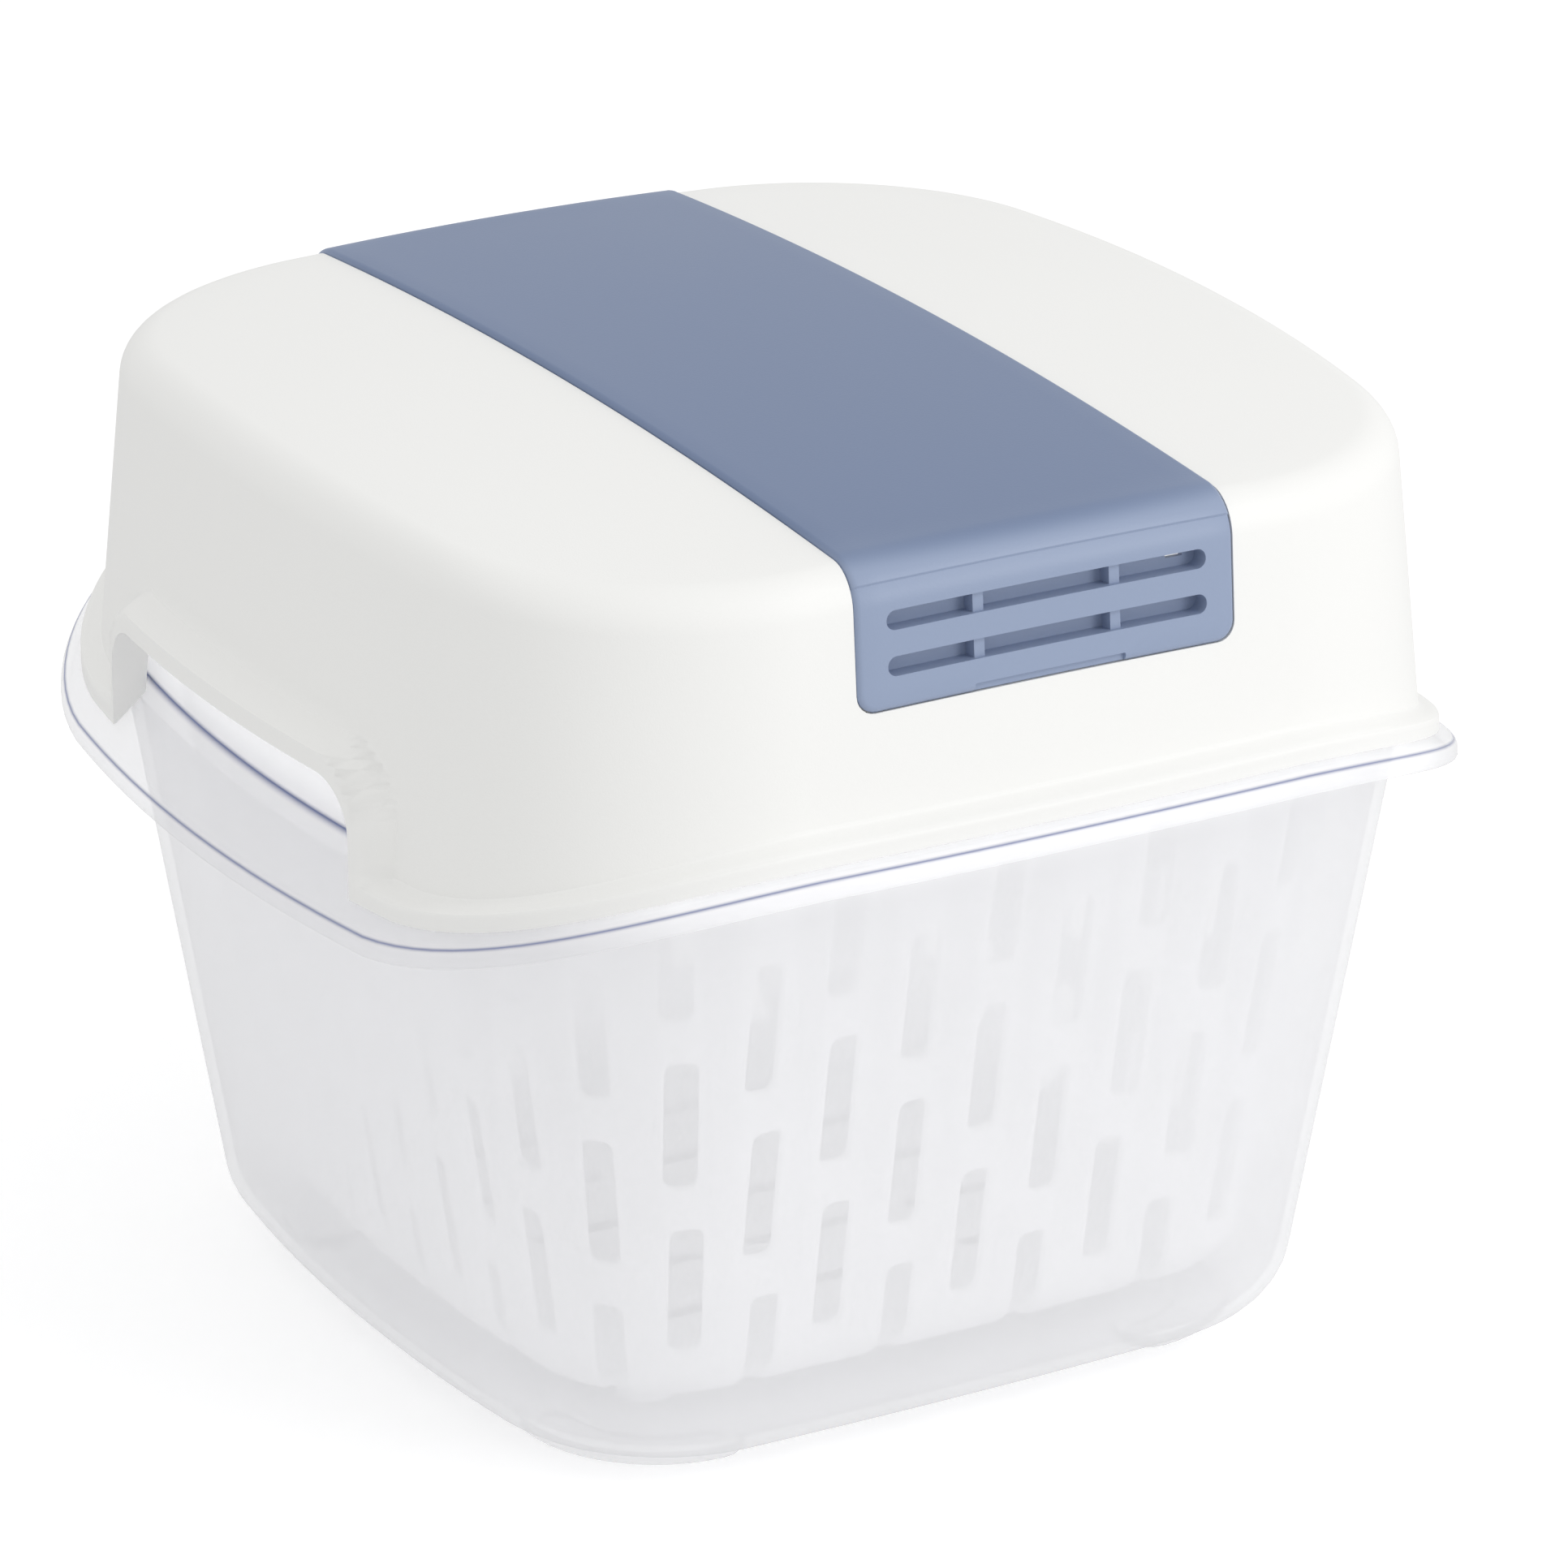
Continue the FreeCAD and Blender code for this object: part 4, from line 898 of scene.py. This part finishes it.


# %% Clear plastic of the bin, with painted dark-blue reflection lines on its bends and a painted glow, stronger in collar and base
def clear_plastic():
    finish = Finish("clear_plastic")
    facing = finish.node("ShaderNodeLayerWeight", None, {"Blend": 0.3}, output="Facing")
    line = finish.node("ShaderNodeAttribute", {"attribute_name": "painted_bend_reflection"}, output="Fac")
    # Painted glow: the bin glows weakly all over, and more in the collar and near the base, where
    # the lid and the floor's shadow darken it.
    painted_collar_glow, base = finish.by_height(RIM - 12.0, RIM, 0.75), finish.by_height(24.0, 14.0, 0.16)
    body = finish.node("ShaderNodeBsdfPrincipled", None, {
        "Base Color": (*linear(236, 236, 237), 1),
        "Roughness": 0.08,
        "IOR": 1.5,
        "Coat Weight": 0.5,
        "Emission Color": 0.19 + painted_collar_glow + base,
        "Emission Strength": 0.6,
    })
    through = finish.node("ShaderNodeBsdfTranslucent", None, {"Color": (0.95, 0.95, 0.955, 1)})
    haze = finish.node("ShaderNodeMixShader", None, {0: 0.45, 1: body, 2: through})
    clear = finish.node("ShaderNodeBsdfTransparent", None, {"Color": (0.99, 0.99, 0.995, 1)})
    # Painted reflection: a dark-blue gloss that stands in for dark surroundings reflected along the
    # bends.
    edge = finish.node("ShaderNodeBsdfPrincipled", None, {
        "Base Color": (*linear(62, 80, 142), 1),
        "Roughness": 0.15,
        "IOR": 1.5,
    })
    wall = finish.node("ShaderNodeMixShader", None, {0: 0.3 + 0.4 * facing**2.0, 1: clear, 2: haze})
    dark = 0.95 * line**1.6
    return finish.out(finish.node("ShaderNodeMixShader", None, {0: dark, 1: wall, 2: edge}))


# %% Give each piece its finish, hang it on the root body and hide the CAD part it replaces
DRESSING = [
    (clear_bin, clear_plastic(), "container", "clear_plastic"),
    (strainer, milky_plastic(), "strainer_basket", "milky_plastic"),
    (white_lid, white_plastic(), "lid_shell", "white_plastic"),
    (vent_band, slate_plastic(), "vent_band", "slate_plastic"),
]
for piece, material, node, slot in DRESSING:
    piece.data.materials.clear()
    piece.data.materials.append(material)
    smooth(piece, 40)
    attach(piece, "root")
    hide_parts(node)
    print(piece.name, len(piece.data.polygons), "faces")

# %% [markdown]
# ## Floor, light and camera
#
# The floor is one wide, flat, pale sheet: the camera looks down on it and sees no horizon. The
# world is even and soft, and white to the camera. A large soft lamp in front lifts the front
# faces a little above the left ones, and a smaller one, higher up, puts a sheen on the nose
# where the band turns down. The band's finish adds a painted highlight there and painted front
# light on its grille faces.

# %% Floor
FLOOR_HALF, FLOOR_GLOW, ROOM_LEVEL = 12000, 0.35, 0.86
ground = bmesh.new()
bmesh.ops.create_grid(ground, x_segments=1, y_segments=1, size=FLOOR_HALF)
floor = finish_piece("floor", ground)


def floor_finish():
    finish = Finish("pale_floor")
    camera_ray = finish.node("ShaderNodeLightPath", output="Is Camera Ray")
    matt = finish.node("ShaderNodeBsdfDiffuse", None, {"Color": (0.8, 0.8, 0.8, 1)})
    glow = finish.node("ShaderNodeEmission", None, {
        "Color": (1, 1, 1, 1), "Strength": camera_ray * FLOOR_GLOW})
    return finish.out(finish.node("ShaderNodeAddShader", None, {0: matt, 1: glow}))


floor.data.materials.append(floor_finish())

# %% World and lamps
world = bpy.data.worlds.new("soft_room")
bpy.context.scene.world = world
world.use_nodes = True
sky = world.node_tree
path = sky.nodes.new("ShaderNodeLightPath")
level = sky.nodes.new("ShaderNodeMapRange")
level.inputs["To Min"].default_value = ROOM_LEVEL
level.inputs["To Max"].default_value = 1.0
sky.links.new(path.outputs["Is Camera Ray"], level.inputs["Value"])
sky.links.new(level.outputs["Result"], sky.nodes["Background"].inputs["Strength"])
sky.nodes["Background"].inputs["Color"].default_value = (1, 1, 1, 1)


def lamp(name, place, target, power, size):
    """Add a square soft lamp that points at a target."""
    light = bpy.data.lights.new(name, "AREA")
    light.energy, light.size = power, size
    item = bpy.data.objects.new(name, light)
    item.location = place
    item.rotation_euler = (Vector(target) - Vector(place)).to_track_quat("-Z", "Y").to_euler()
    bpy.context.scene.collection.objects.link(item)
    return item


MIDDLE = (0, 0, 0.15)
lamp("front_softbox", (1.05, -1.9, 0.62), MIDDLE, 7.2, 0.8)
lamp("nose_softbox", (1.1, -1.45, 1.6), MIDDLE, 6.0, 0.55)

# %% Camera
AZIMUTH, ELEVATION, DISTANCE, LENS = radians(-29.61), radians(21.83), 1.6208, 181.6
TARGET = Vector((0.0059, -0.00335, 0.1060))
back = Vector((sin(AZIMUTH) * cos(ELEVATION), -cos(AZIMUTH) * cos(ELEVATION), sin(ELEVATION)))
camera_data = bpy.data.cameras.new("camera")
camera_data.lens, camera_data.sensor_width = LENS, 36.0
camera = bpy.data.objects.new("camera", camera_data)
camera.location = TARGET + back * DISTANCE
camera.rotation_euler = (-back).to_track_quat("-Z", "Y").to_euler()
bpy.context.scene.collection.objects.link(camera)
bpy.context.scene.camera = camera
bpy.context.scene.view_settings.view_transform = "Standard"
print("camera at", camera.location)
